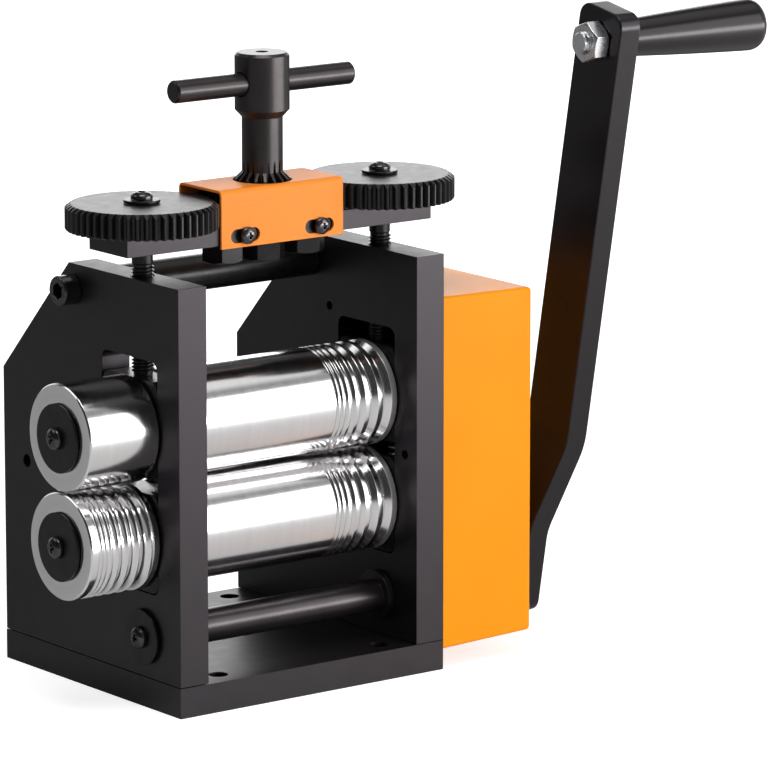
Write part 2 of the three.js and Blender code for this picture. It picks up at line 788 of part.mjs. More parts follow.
function sideRoller(grooved) {
  const radius = rollerDiameter / 2;
  const grooves = grooved
    ? roundGrooves(halfRoundGrooves, sideRollerLength - sideGrooveEndLand, radius)
    : [];
  const blank = turned([
    [0, 0], [radius, 0], ...grooves, [radius, sideRollerLength], [0, sideRollerLength],
  ]);
  return cut(blank, extruded(flattedHole(stubDiameter, stubFlats), sideRollerLength + 2 * through, -through));
}

// The side roller on a roller's left stub, with its washer and screw
function addSideRoller(name, grooved, height) {
  const outwards = turnAbout(0, 1, 0, -90);
  const washerX = -(sideRollerOuter + clearance);
  const headX = washerX - sideWasher.thickness - clearance;
  const roller = sideRoller(grooved);
  place(`${name}_side_roller`, roller, polishedSteel, -sideRollerOuter, rollerY, height, acrossMill);
  place(`${name}_side_washer`, washer(sideWasher), blackSteel, washerX, rollerY, height, outwards);
  place(`${name}_side_screw`, panHeadScrew(panScrew), blackSteel, headX, rollerY, height, outwards);
}

const rollerGear = {
  module: (rollerDiameter + restGap) / rollerGearTeeth,
  teeth: rollerGearTeeth,
  backlash: rollerGearBacklash,
  angle: drivePressureAngle,
};

const reduction = { module: reductionModule, backlash: reductionBacklash, angle: drivePressureAngle };

// Direction from the lower roller's axis to the crank shaft's, in the machine's YZ plane
const reductionLine = Math.atan2(crankZ - lowerRollerHeight, crankY - rollerY);

function addLowerRoller() {
  const seatEnd = drivenStart + drivenWidth + clearance;
  place("lower_roller", rollerBody(seatEnd), polishedSteel, 0, rollerY, lowerRollerHeight, acrossMill);
  addSideRoller("lower", true, lowerRollerHeight);
  const phase = meshPhase(0, rollerGearTeeth, rollerGearTeeth, -Math.PI / 2);
  const small = extruded(gearShape({ ...rollerGear, phase }), drivenStart - rollerGearStart + seam);
  const large = extruded(gearShape({ ...reduction, teeth: drivenTeeth }), drivenWidth)
    .translate(0, 0, drivenStart - rollerGearStart);
  const width = drivenStart + drivenWidth - rollerGearStart;
  const bore = extruded(flattedHole(gearSeatDiameter, gearSeatFlats), width + 2 * through, -through);
  const cluster = cut(join(small, large), bore);
  place("lower_gear_cluster", cluster, groundSteel, rollerGearStart, rollerY, lowerRollerHeight, acrossMill);
}

function addUpperRoller() {
  const seatEnd = rollerGearStart + rollerGearWidth + clearance;
  place("upper_roller", rollerBody(seatEnd), polishedSteel, 0, rollerY, upperRollerHeight, acrossMill);
  addSideRoller("upper", false, upperRollerHeight);
  const shape = gearShape(rollerGear);
  shape.holes.push(flattedHole(gearSeatDiameter, gearSeatFlats));
  const gear = extruded(shape, rollerGearWidth);
  place("upper_roller_gear", gear, groundSteel, rollerGearStart, rollerY, upperRollerHeight, acrossMill);
}

// Carriage: everything that rises and falls with the upper roller

function addUpperBlocks() {
  const half = slotWidth / 2 - clearance;
  const shape = roundedBlock(-half, half, -blockAboveLower, upperBlockCap, blockCorner);
  shape.holes.push(hole(journalDiameter + 2 * clearance));
  const upright = new THREE.Matrix4().makeRotationX(-Math.PI / 2);
  const depth = screwSpigotLength + clearance;
  const socket = drill(screwSpigotDiameter + 2 * clearance, depth + through)
    .applyMatrix4(upright).translate(0, upperBlockCap - depth, 0);
  const pockets = springPockets(-blockAboveLower, 1);
  addBlocks("upper_bearing_block", shape, upperRollerHeight, [...pockets, socket]);
}

function addBridgeBar() {
  const half = outerFace + bridgeOverhang;
  const depth = bridgeWidth / 2;
  const shape = polygon([[-half, -depth], [half, -depth], [half, depth], [-half, depth]]);
  for (const x of [-screwX, screwX]) shape.holes.push(hole(screwSeatDiameter + 2 * clearance, x));
  for (const x of [-idlerToPinion, 0, idlerToPinion]) {
    shape.holes.push(hole(studShankDiameter + 2 * clearance, x));
  }
  const taps = [-1, 1].map((side) =>
    drill(guardScrew.core + 2 * clearance, guardScrew.length + through)
      .rotateX(-Math.PI / 2)
      .translate((side * guardScrewSpacing) / 2, -depth - through, guardScrewHeight - bridgeHeight));
  place("bridge_bar", cut(extruded(shape, bridgeThickness), ...taps), blackened, 0, rollerY, bridgeHeight);
}

function addPinionGuard() {
  const half = bridgeWidth / 2 + clearance;
  const outline = (inset) => {
    const side = half + guardSheet - inset;
    const top = guardTop - guardFoot - inset;
    const radius = guardBend - inset;
    return roundedPoints(-side, side, -2 * radius, top, radius).filter(([, z]) => z >= 0);
  };
  const outer = outline(0);
  const inner = outline(guardSheet).reverse();
  const outerFoot = half + guardSheet;
  const channel = polygon([
    [outerFoot, 0], ...outer, [-outerFoot, 0], [-half, 0], ...inner, [half, 0],
  ]);
  const hole = drill(guardHoleDiameter, 3 * guardSheet)
    .rotateX(-Math.PI / 2)
    .translate(0, guardTop - guardFoot - 2 * guardSheet, -guardShift);
  const slots = [-1, 1].map((side) => {
    const reach = (guardSlotLength - guardSlotHeight) / 2;
    const slot = roundedBlock(
      -reach - guardSlotHeight / 2, reach + guardSlotHeight / 2,
      -guardSlotHeight / 2, guardSlotHeight / 2, guardSlotHeight / 2 - hair,
    );
    return extruded(slot, 3 * guardSheet)
      .rotateY(-Math.PI / 2)
      .translate(-half + guardSheet / 2, guardScrewHeight - guardFoot, (side * guardScrewSpacing) / 2);
  });
  const guard = cut(extruded(channel, guardLength, -guardLength / 2), hole, ...slots);
  place("pinion_guard", guard, orangePaint, guardShift, rollerY, guardFoot, acrossMill);
  const forwards = turnAbout(1, 0, 0, 90);
  const y = rollerY - half - guardSheet - clearance;
  for (const [name, side] of [["left", -1], ["right", 1]]) {
    const x = (side * guardScrewSpacing) / 2;
    place(`guard_screw_${name}`, panHeadScrew(guardScrew), blackSteel, x, y, guardScrewHeight, forwards);
  }
}

// A hexagon under the bar, with a shank up through the bar that the gear turns on
function pivotStud(headHeight, turn) {
  const head = extruded(hexagon(studFlats, radians(turn)), headHeight, -headHeight);
  const shankTop = gearTop - studShort - (bridgeHeight - clearance);
  return join(head, rod(studShankDiameter, shankTop + seam, -seam));
}

function addStuds() {
  const places = { left: -idlerToPinion, centre: 0, right: idlerToPinion };
  const names = { left: "left_idler_stud", centre: "pinion_stud", right: "right_idler_stud" };
  for (const [key, x] of Object.entries(places)) {
    const stud = pivotStud(studHeadHeights[key], studTurns[key]);
    place(names[key], stud, blackSteel, x, rollerY, bridgeHeight - clearance);
  }
}

// Adjusting screws and their large gears

const pinionPhase = 0;
const idlerPhases = {
  left: meshPhase(pinionPhase, pinionTeeth, idlerTeeth, Math.PI),
  right: meshPhase(pinionPhase, pinionTeeth, idlerTeeth, 0),
};
const largePhases = {
  left: meshPhase(idlerPhases.left, idlerTeeth, largeTeeth, Math.PI),
  right: meshPhase(idlerPhases.right, idlerTeeth, largeTeeth, 0),
};
const adjustGear = { module: adjustModule, backlash: adjustBacklash };

function adjustingScrew() {
  const foot = upperBlockTop + clearance;
  const thread = screwThreadDiameter / 2;
  const neck = screwNeckDiameter / 2;
  const seat = screwSeatDiameter / 2;
  const spigot = screwSpigotDiameter / 2;
  const bore = tapRadius(panScrew);
  const neckTop = bridgeHeight - clearance;
  const top = gearTop - clearance;
  const tap = top - panScrew.length - clearance;
  const shaft = turned([
    [0, foot - screwSpigotLength], [spigot, foot - screwSpigotLength], [spigot, foot], [thread, foot],
    [thread, screwThreadTop], [neck, screwThreadTop], [neck, neckTop],
    [seat, neckTop], [seat, top], [bore, top], [bore, tap], [0, tap],
  ]);
  return cut(shaft, ...flatCutters(screwSeatDiameter, screwSeatFlats, bridgeTop, top + through));
}

function largeGear(phase) {
  const tip = (adjustModule * (largeTeeth + 2)) / 2;
  const top = adjustGearThickness;
  const teeth = extruded(gearShape({ ...adjustGear, teeth: largeTeeth, phase }), top);
  const beyond = 0.25 * rimChamfer.inwards;
  const coneFoot = top - 1.25 * rimChamfer.down;
  const blank = turned([
    [0, 0], [tip + beyond, 0], [tip + beyond, coneFoot], [tip - rimChamfer.inwards, top], [0, top],
  ], largeTeeth).rotateZ(phase + Math.PI / largeTeeth + Math.PI / 2);
  const bore = extruded(flattedHole(screwSeatDiameter, screwSeatFlats), top + 2 * through, -through);
  return cut(overlap(teeth, blank), bore);
}

function addAdjustingScrews() {
  const screw = adjustingScrew();
  const washerZ = gearTop + clearance;
  const headZ = washerZ + gearWasher.thickness + clearance;
  for (const [side, x] of [["left", -screwX], ["right", screwX]]) {
    place(`${side}_adjusting_screw`, screw, blackSteel, x, rollerY, 0);
    place(`${side}_adjusting_gear`, largeGear(largePhases[side]), groundSteel, x, rollerY, gearFoot);
    place(`${side}_gear_washer`, washer(gearWasher), blackSteel, x, rollerY, washerZ);
    place(`${side}_gear_screw`, panHeadScrew(panScrew), blackSteel, x, rollerY, headZ);
  }
}

function addIdlers() {
  for (const [side, x] of [["left", -idlerToPinion], ["right", idlerToPinion]]) {
    const shape = gearShape({ ...adjustGear, teeth: idlerTeeth, phase: idlerPhases[side] });
    shape.holes.push(hole(studShankDiameter + 2 * clearance));
    place(`${side}_idler_gear`, extruded(shape, adjustGearThickness), groundSteel, x, rollerY, gearFoot);
  }
}

// T-handle: spindle and pinion in one, whose tooth ends run out in a cone above the guard

function addTeeHandle() {
  const spindle = spindleDiameter / 2;
  const head = teeHeadDiameter / 2;
  const tip = (adjustModule * (pinionTeeth + 2)) / 2;
  const runOut = pinionTeethTop + tip - spindle;
  const setBore = setScrewDiameter / 2 + clearance;
  const stem = turned([
    [0, gearFoot], [tip + hair, gearFoot], [tip + hair, pinionTeethTop], [spindle, runOut],
    [spindle, teeTaperFoot], [head, teeTaperTop], [head, teeHeadTop - teeHeadChamfer],
    [head - teeHeadChamfer, teeHeadTop], [setBore, teeHeadTop], [setBore, teeBarHeight], [0, teeBarHeight],
  ], pinionTeeth);
  const shape = gearShape({ ...adjustGear, teeth: pinionTeeth, phase: pinionPhase });
  const teeth = extruded(shape, runOut - gearFoot, gearFoot);
  const above = rod(2 * teeHeadDiameter, teeHeadTop - runOut + through + hair, runOut - hair);
  const boreDepth = adjustGearThickness + clearance;
  const bore = drill(studShankDiameter + 2 * clearance, boreDepth + through, gearFoot - through);
  const crossHole = drill(teeBarHole, 2 * teeHeadDiameter, -teeHeadDiameter)
    .rotateY(Math.PI / 2).translate(0, 0, teeBarHeight);
  const spindleBody = cut(overlap(stem, join(teeth, above)), bore, crossHole);
  place("tee_spindle", spindleBody, groundSteel, 0, rollerY, 0);
  const half = teeBarLength / 2;
  const radius = teeBarDiameter / 2;
  const bar = turned([
    [0, -half], [radius - teeBarChamfer, -half], [radius, teeBarChamfer - half],
    [radius, half - teeBarChamfer], [radius - teeBarChamfer, half], [0, half],
  ]);
  place("tee_bar", bar, groundSteel, 0, rollerY, teeBarHeight, acrossMill);
  const setScrew = rod(setScrewDiameter, setScrewLength);
  place("tee_set_screw", setScrew, blackSteel, 0, rollerY, teeBarHeight + radius + clearance);
}

// Crank

// The arm's centreline seen from the front, as [along, outwards] pairs, with both bends as arcs
function armCentreline() {
  const bend = radians(joggleAngle);
  const arcRise = joggleRadius * (1 - Math.cos(bend));
  const arcRun = joggleRadius * Math.sin(bend);
  const straight = (joggleOffset - 2 * arcRise) / Math.sin(bend);
  const steps = 4;
  const points = [[-armFootEnd, 0, 0]];
  for (let i = 0; i <= steps; i += 1) {
    const angle = (bend * i) / steps;
    points.push([joggleStart + joggleRadius * Math.sin(angle), joggleRadius * (1 - Math.cos(angle)), angle]);
  }
  const endRun = joggleStart + 2 * arcRun + straight * Math.cos(bend);
  for (let i = steps; i >= 0; i -= 1) {
    const angle = (bend * i) / steps;
    const rise = joggleOffset - joggleRadius * (1 - Math.cos(angle));
    points.push([endRun - joggleRadius * Math.sin(angle), rise, angle]);
  }
  points.push([crankThrow + armHeadEnd, joggleOffset, 0]);
  return points;
}

function crankArm() {
  const middle = armCentreline();
  const offset = (side) => middle.map(([along, out, angle]) => [
    along - side * (armThickness / 2) * Math.sin(angle),
    out + armThickness / 2 + side * (armThickness / 2) * Math.cos(angle),
  ]);
  const profile = polygon([...offset(-1), ...offset(1).reverse()]);
  const half = armWidth / 2;
  const bent = extruded(profile, armWidth, -half)
    .applyMatrix4(new THREE.Matrix4().makeBasis(
      new THREE.Vector3(0, 1, 0), new THREE.Vector3(0, 0, 1), new THREE.Vector3(1, 0, 0),
    ));
  const outline = roundedBlock(-half - hair, half + hair, -armFootEnd, crankThrow + armHeadEnd, armCorner);
  const flat = extruded(outline, joggleOffset + 2 * armThickness, -armThickness / 2);
  const shaftHole = extruded(flattedHole(crankShaftDiameter, crankShaftFlats), 2 * armThickness, -through);
  const boltHole = drill(gripBoltDiameter + 2 * clearance, 3 * armThickness, joggleOffset - armThickness);
  return cut(overlap(bent, flat), shaftHole, boltHole.translate(0, crankThrow, 0));
}

function addCrank() {
  const crank = new THREE.Group();
  crank.position.set(0, crankY, crankZ);
  crank.rotation.x = radians(crankLean);
  mill.add(crank);

  const radius = crankShaftDiameter / 2;
  const collar = crankCollarDiameter / 2;
  const bore = tapRadius(panScrew);
  const armBore = tapRadius(armScrew);
  const leftEnd = -journalEnd;
  const rightEnd = armOuter - clearance;
  const collarEnd = innerFace - clearance;
  const leftTap = leftEnd + panScrew.length + clearance;
  const rightTap = rightEnd - armScrew.length - clearance;
  const flatsStart = crankPinionStart - clearance;
  const shaft = turned([
    [0, leftTap], [bore, leftTap], [bore, leftEnd], [radius, leftEnd], [radius, collarEnd - crankCollarWidth],
    [collar, collarEnd - crankCollarWidth], [collar, collarEnd], [radius, collarEnd], [radius, rightEnd],
    [armBore, rightEnd], [armBore, rightTap], [0, rightTap],
  ]);
  const flats = flatCutters(crankShaftDiameter, crankShaftFlats, flatsStart, rightEnd + through);
  place("crank_shaft", cut(shaft, ...flats), groundSteel, 0, 0, 0, acrossMill, crank);

  const phase = meshPhase(0, drivenTeeth, crankTeeth, reductionLine) - radians(crankLean);
  const shape = gearShape({ ...reduction, teeth: crankTeeth, phase });
  shape.holes.push(flattedHole(crankShaftDiameter, crankShaftFlats));
  const pinion = extruded(shape, crankPinionWidth);
  place("crank_pinion", pinion, groundSteel, crankPinionStart, 0, 0, acrossMill, crank);

  place("crank_arm", crankArm(), blackened, armInner, 0, 0, acrossMill, crank);
  place("crank_arm_screw", panHeadScrew(armScrew), blackSteel, armOuter + clearance, 0, 0, acrossMill, crank);

  const outwards = turnAbout(0, 1, 0, -90);
  const washerX = leftEnd - clearance;
  const headX = washerX - crankWasher.thickness - clearance;
  place("crank_end_washer", washer(crankWasher), blackSteel, washerX, 0, 0, outwards, crank);
  place("crank_end_screw", panHeadScrew(panScrew), blackSteel, headX, 0, 0, outwards, crank);
  addGrip(crank);
}

// The grip widens from the arm outwards with slightly swelling sides, then rounds off
function gripProfile() {
  const bore = holeReach(gripBoltDiameter + 2 * clearance) / 2;
  const small = gripSmallDiameter / 2;
  const large = gripLargeDiameter / 2;
  const swellEnd = gripLength - gripEndRadius;
  const swell = (share) => small + (large - small) * share * (1 + gripBulge * (1 - share));
  const profile = [[bore, 0]];
  const steps = 4;
  for (let i = 0; i <= steps; i += 1) profile.push([swell(i / steps), (swellEnd * i) / steps]);
  const recess = gripRecess.diameter / 2;
  const rim = (large + recess) / 2;
  const shoulder = (4 * large + rim) / 5;
  profile.push([shoulder, gripLength - gripEndRadius / 2], [rim, gripLength]);
  const floor = gripLength - gripRecess.depth;
  profile.push([recess, gripLength], [recess, floor], [bore, floor], [bore, 0]);
  return profile;
}

function addGrip(crank) {
  const armFace = armInner + joggleOffset;
  const gripStart = armFace + armThickness + clearance;
  const nutFace = armFace - clearance - gripNut.height;
  place("crank_grip", turned(gripProfile()), blackGrip, gripStart, 0, crankThrow, acrossMill, crank);

  const bolt = gripBoltDiameter / 2;
  const headFoot = gripStart + gripLength - gripRecess.depth + clearance;
  const tail = nutFace - gripBoltEnd;
  const length = headFoot - tail;
  const head = gripBoltHead.diameter / 2;
  const top = length + gripBoltHead.height;
  const body = turned([
    [0, 0], [bolt - gripBoltChamfer, 0], [bolt, gripBoltChamfer], [bolt, length],
    [head, length], [head, top - headChamfer], [head - headChamfer, top], [0, top],
  ]);
  place("grip_bolt", body, zinc, tail, 0, crankThrow, acrossMill, crank);

  const nut = hexagon(gripNut.flats, Math.PI / 2);
  nut.holes.push(hole(gripBoltDiameter + 2 * clearance));
  place("grip_nut", extruded(nut, gripNut.height), zinc, nutFace, 0, crankThrow, acrossMill, crank);
}

addBasePlate();
addBaseScrews();
addSidePlates();
addTieBar();
addLowerBlocks();
addSprings();
addGearCover();
addLowerRoller();
addUpperRoller();
addUpperBlocks();
addBridgeBar();
addPinionGuard();
addStuds();
addAdjustingScrews();
addIdlers();
addTeeHandle();
addCrank();

export default mill;
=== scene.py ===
"""Dresses a jewellers rolling mill: each piece that shows is modelled and finished round the frame."""

import json
import math

import bpy
from mathutils import Matrix, Vector


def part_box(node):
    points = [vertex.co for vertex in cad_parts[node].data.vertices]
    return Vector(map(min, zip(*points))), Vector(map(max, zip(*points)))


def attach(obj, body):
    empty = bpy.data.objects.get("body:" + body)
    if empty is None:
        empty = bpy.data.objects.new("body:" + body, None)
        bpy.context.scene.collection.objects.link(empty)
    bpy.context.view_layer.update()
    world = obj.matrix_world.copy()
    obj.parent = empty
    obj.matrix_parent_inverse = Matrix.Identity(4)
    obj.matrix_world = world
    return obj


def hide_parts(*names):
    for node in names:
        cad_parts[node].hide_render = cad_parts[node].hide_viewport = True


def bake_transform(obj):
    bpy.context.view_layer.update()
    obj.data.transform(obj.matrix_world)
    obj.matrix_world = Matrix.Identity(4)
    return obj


bl_info = {
    "name": "Jewellers Rolling Mill",
    "version": (1, 0, 0),
    "blender": (4, 5, 0),
    "location": "3D View > Sidebar > Rolling Mill",
    "description": "Models and finishes a hand-cranked rolling mill piece by piece",
    "category": "Object",
}

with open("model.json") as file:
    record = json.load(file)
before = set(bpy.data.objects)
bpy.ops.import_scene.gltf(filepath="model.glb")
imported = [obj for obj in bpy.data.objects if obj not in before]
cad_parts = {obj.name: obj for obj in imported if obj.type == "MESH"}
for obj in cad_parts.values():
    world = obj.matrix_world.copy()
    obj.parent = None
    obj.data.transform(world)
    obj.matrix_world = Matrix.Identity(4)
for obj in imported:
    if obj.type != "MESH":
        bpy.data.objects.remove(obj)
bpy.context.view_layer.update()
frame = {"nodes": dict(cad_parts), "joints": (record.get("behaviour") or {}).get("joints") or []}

MM = 0.001
MERGE = 0.002 * MM
PAST = 1 * MM  # how far a cutter runs past the face that it opens


def low(node):
    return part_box(node)[0]


def high(node):
    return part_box(node)[1]


def middle(node):
    return (low(node) + high(node)) / 2


def joint_place(name):
    return Vector(next(joint["pos_m"] for joint in frame["joints"] if joint["name"] == name))


# Places taken from the frame
OUTER_FACE = -low("left_side_plate").x
INNER_FACE = -high("left_side_plate").x
PLATE_THICKNESS = OUTER_FACE - INNER_FACE
SCREW_X = (OUTER_FACE + INNER_FACE) / 2
SIDES = (("left", -SCREW_X), ("right", SCREW_X))
FRONT = low("left_side_plate").y
BACK = high("left_side_plate").y
PLATE_FOOT = low("left_side_plate").z
PLATE_TOP = high("left_side_plate").z
UPPER_AXIS = joint_place("upper_roller_spin")
LOWER_AXIS = joint_place("lower_roller_spin")
CRANK_AXIS = joint_place("crank_spin")
GRIP_AXIS = joint_place("grip_spin")
ROLLER_Y = UPPER_AXIS.y
GEAR_FOOT = low("left_adjusting_gear").z
GEAR_TOP = high("left_adjusting_gear").z
LEAN = math.degrees(math.atan2(CRANK_AXIS.y - GRIP_AXIS.y, GRIP_AXIS.z - CRANK_AXIS.z))
THROW = (GRIP_AXIS - CRANK_AXIS).length

# Sizes that the frame's boxes don't give, as in the CAD source
CLEARANCE = 0.3 * MM
BENCH_HOLE = {"x": 42.5 * MM, "y": 55 * MM, "diameter": 8.5 * MM}
BASE_SCREW_HOLE = {"bore": 5.6 * MM, "counterbore": 10.6 * MM, "depth": 6.3 * MM}
SLOPE_FOOT = 130.3 * MM
SLOPE_TOP = FRONT + 80.6 * MM
SLOT = {"width": 40.6 * MM, "floor": 50 * MM, "top": 150 * MM, "corner": 4 * MM}
CRANK_HOLE = 15.4 * MM
SCREW_HOLE = 10.2 * MM  # for the adjusting screws and for the grip bolt's nut
REAR_HOLE = {"from_front": 114.4 * MM, "height": 91.3 * MM, "diameter": 5.5 * MM}
GUIDE_HOLE = {"from_front": 8.6 * MM, "height": 95.8 * MM, "diameter": 4.2 * MM, "depth": 8 * MM}
CAP_HOLE = 7.4 * MM
TAPPED_HOLE = {"y": -3.4 * MM, "height": 153 * MM, "diameter": 4 * MM, "depth": 6 * MM}
POST = {"diameter": 9 * MM, "thread": 12.3 * MM}
M5_HOLE = 4.8 * MM
GUARD_SCREW_HOLE = {"diameter": 3.8 * MM, "depth": 8 * MM}
PIVOT_BORE = 8.6 * MM  # bridge bar, idlers and pinion, on the studs
SPIGOT = 8 * MM  # top of an adjusting screw, and the bore of its gear
BLOCK = {"corner": 4.5 * MM, "bore": 25.6 * MM, "socket": 7.6 * MM, "socket_depth": 6.3 * MM}
SPRING_POCKET = {"diameter": 9 * MM, "depth": 5 * MM}
SPRING = {"wire": 1.2 * MM, "curls": 5, "radius": 3.4 * MM, "offset": 13 * MM}
WIRE_GROOVES = [pitch * MM for pitch in (7.2, 6.8, 5.2, 3.9, 2.9, 2.4, 2.3)]
GROOVE_SHARE = 0.66  # how much of each pitch the groove takes; the rest is the land beside it
GROOVE_END_LAND = 3.2 * MM
HALF_ROUND_GROOVES = [width * MM for width in (6.7, 5.4, 5, 4.2, 2.5, 2.1, 2.1)]
SIDE_GROOVE_END_LAND = 3.3 * MM
HALF_ROUND_DEPTH = 0.42  # as a share of the groove's width
STUB_RADIUS = {"side_roller": 8 * MM, "gear": 10 * MM}  # the roller's stubs outside its journals
THREAD_DEPTH = 0.58  # as a share of the pitch
PAN_CROWN = 0.32  # share of a pan head's height that stands upright under its crown
ADJUST = {"module": 1.2 * MM, "backlash": 0.24 * MM, "pressure": 20}
LARGE_TEETH, IDLER_TEETH, PINION_TEETH = 52, 17, 18
JOGGLE = {"start": 19 * MM, "offset": 15 * MM, "angle": 21.5, "radius": 28 * MM}
ARM = {"width": 28.9 * MM, "thickness": 10.9 * MM, "foot": 16 * MM, "head": 14.5 * MM, "corner": 6.5 * MM}

# Fasteners in millimetres: head's diameter and height, core's diameter, shank's length
M3_PAN = (7.4, 2.4, 3.2, 8)
M5_PAN = (9.4, 3.1, 4.2, 12)
ARM_PAN = (10.5, 3, 5, 14)
BASE_CAP = (10, 6, 5, 18.7)
TIE_CAP = (13, 8, 6.8, 28)

# Washers: diameter and thickness
SIDE_WASHER = (29.5 * MM, 1.4 * MM)
GEAR_WASHER = (15.6 * MM, 1.2 * MM)
SHAFT_WASHER = (24 * MM, 1.4 * MM)

# Directions: where a piece's own Z axis ends up
DOWNWARDS = Matrix.Rotation(math.pi, 4, "X")
FORWARDS = Matrix.Rotation(math.pi / 2, 4, "X")
LEFTWARDS = Matrix.Rotation(-math.pi / 2, 4, "Y")
ACROSS = Matrix(((0, 0, 1, 0), (1, 0, 0, 0), (0, 1, 0, 0), (0, 0, 0, 1)))  # X to Y, Y to Z, Z to X
CRANK_TURN = Matrix.Translation(CRANK_AXIS) @ Matrix.Rotation(math.radians(LEAN), 4, "X")


# Settings that a user would change


def length(label, text, millimetres):
    return bpy.props.FloatProperty(name=label, description=text, default=millimetres * MM, unit="LENGTH")


def number(label, text, default, **more):
    return bpy.props.FloatProperty(name=label, description=text, default=default, **more)


def colour(label, text, default):
    return bpy.props.FloatVectorProperty(
        name=label, description=text, default=default, size=3, min=0, max=1, subtype="COLOR"
    )


def vector(label, text, default, **more):
    return bpy.props.FloatVectorProperty(name=label, description=text, default=default, **more)


class MillSizes(bpy.types.PropertyGroup):
    roller_diameter: length("Roller diameter", "Across the main and side rollers", 46)
    journal_diameter: length("Journal diameter", "Across the roller's journals", 25)
    plate_bevel: length("Plate bevel", "Broken edges of plates and bars", 0.45)
    small_bevel: length("Small bevel", "Broken edges of gears, blocks and fittings", 0.15)
    thread_pitch: length("Thread pitch", "Pitch of the adjusting screws and the grip bolt", 1.5)
    thread_crest: length("Thread crest", "Diameter over the adjusting screws' thread", 9.9)
    cover_sheet: length("Cover sheet", "Wall of the gear cover", 1.5)
    cover_fillet: length("Cover fillet", "Rounding of the gear cover's edges", 1.8)
    cover_draft: length("Cover draft", "How far each side draws in towards the outer face", 1.2)
    guard_sheet: length("Guard sheet", "Sheet of the pinion guard", 1.2)
    guard_bend: length("Guard bend", "Outer radius of the guard's bends", 2.5)
    recess_width: number("Cross recess", "Width of a cross recess as a share of the head", 0.17)


class MillFinishes(bpy.types.PropertyGroup):
    black_oxide: colour("Black oxide", "Plates, base and bar", (0.0032, 0.0026, 0.0032))
    black_fitting: colour("Black fittings", "Studs, washers and blocks", (0.012, 0.011, 0.012))
    gear_steel: colour("Gear steel", "Adjusting gears", (0.03, 0.029, 0.031))
    handle_steel: colour("Handle steel", "T-handle", (0.045, 0.04, 0.041))
    roller_steel: colour("Roller steel", "Polished rollers", (0.83, 0.82, 0.83))
    cover_paint: colour("Cover paint", "Gear cover", (0.98, 0.31, 0.007))
    guard_paint: colour("Guard paint", "Pinion guard", (0.96, 0.28, 0.032))
    zinc: colour("Zinc", "Grip bolt and nut", (0.78, 0.79, 0.81))
    grip: colour("Grip", "Crank grip", (0.007, 0.0055, 0.0065))


class MillStage(bpy.types.PropertyGroup):
    lens: number("Lens", "Focal length on a 36 mm sensor, in millimetres", 264.5, unit="CAMERA")
    camera_place: vector("Camera", "Where the camera stands", (-1.3893, -1.9423, 0.6162), unit="LENGTH")
    camera_aim: vector("Aim", "Direction that the camera looks in", (0.5928, 0.7796, -0.2018))
    low_power: number("Low", "Low lamp at the front right, in watts", 17)
    tall_power: number("Tall", "Tall lamp at the front right, in watts", 5)
    top_power: number("Top", "Lamp overhead, in watts", 12)
    back_power: number("Back", "Lamp behind the mill on the right, in watts", 6)
    rear_power: number("Rear", "Lamp behind the mill on the left, in watts", 4.5)
    fill: number("Fill", "Strength of the world's light", 0.23)


def sizes():
    return bpy.context.scene.mill_sizes


def finishes():
    return bpy.context.scene.mill_finishes


# Modelling


def clear_selection():
    if bpy.context.mode != "OBJECT":
        bpy.ops.object.mode_set(mode="OBJECT")
    bpy.ops.object.select_all(action="DESELECT")


def select(piece):
    clear_selection()
    piece.select_set(True)
    bpy.context.view_layer.objects.active = piece


def edit(piece, mode="VERT"):
    select(piece)
    bpy.ops.object.mode_set(mode="EDIT")
    bpy.ops.mesh.select_mode(type=mode)


def leave_edit():
    bpy.ops.object.mode_set(mode="OBJECT")
    return bpy.context.view_layer.objects.active


def mend_normals():
    bpy.ops.mesh.select_all(action="SELECT")
    bpy.ops.mesh.remove_doubles(threshold=MERGE)
    bpy.ops.mesh.normals_make_consistent(inside=False)


def draw_line(points):
    """Draws a chain of edges by extruding one vertex from point to point, and stays in edit mode."""
    clear_selection()
    bpy.ops.mesh.primitive_plane_add(size=MM, location=(0, 0, 0))
    bpy.ops.object.mode_set(mode="EDIT")
    bpy.ops.mesh.select_mode(type="VERT")
    bpy.ops.mesh.merge(type="CENTER")
    points = [Vector(point) for point in points]
    bpy.ops.transform.translate(value=points[0])
    for start, end in zip(points, points[1:]):
        bpy.ops.mesh.extrude_vertices_move(TRANSFORM_OT_translate={"value": end - start})
    bpy.ops.mesh.select_all(action="SELECT")


def turned(profile, segments=64):
    """A piece on its own Z axis, from [radius, z] pairs that start and end on the axis."""
    draw_line([(radius, 0, z) for radius, z in profile])
    bpy.ops.mesh.spin(steps=segments, angle=2 * math.pi, center=(0, 0, 0), axis=(0, 0, 1))
    mend_normals()
    return leave_edit()


def prism(outline, depth, z=0.0):
    """A closed outline in the XY plane, extruded along Z."""
    draw_line([(x, y, z) for x, y in outline])
    bpy.ops.mesh.edge_face_add()
    bpy.ops.mesh.extrude_region_move(TRANSFORM_OT_translate={"value": (0, 0, depth)})
    mend_normals()
    return leave_edit()


def rod(diameter, depth, z=0.0, segments=48):
    return turned([(0, z), (diameter / 2, z), (diameter / 2, z + depth), (0, z + depth)], segments)


def arc(x, y, radius, start, end, steps):
    """Points on an arc between two angles in degrees."""
    angles = [math.radians(start + (end - start) * i / steps) for i in range(steps + 1)]
    return [(x + radius * math.cos(angle), y + radius * math.sin(angle)) for angle in angles]


def rounded_rectangle(left, right, bottom, top, radius, steps=6):
    corners = [
        (right - radius, top - radius, 0),
        (left + radius, top - radius, 90),
        (left + radius, bottom + radius, 180),
        (right - radius, bottom + radius, 270),
    ]
    return [point for x, y, start in corners for point in arc(x, y, radius, start, start + 90, steps)]


def hexagon(flats, turn=0):
    return arc(0, 0, flats / math.sqrt(3), turn, turn + 300, 5)


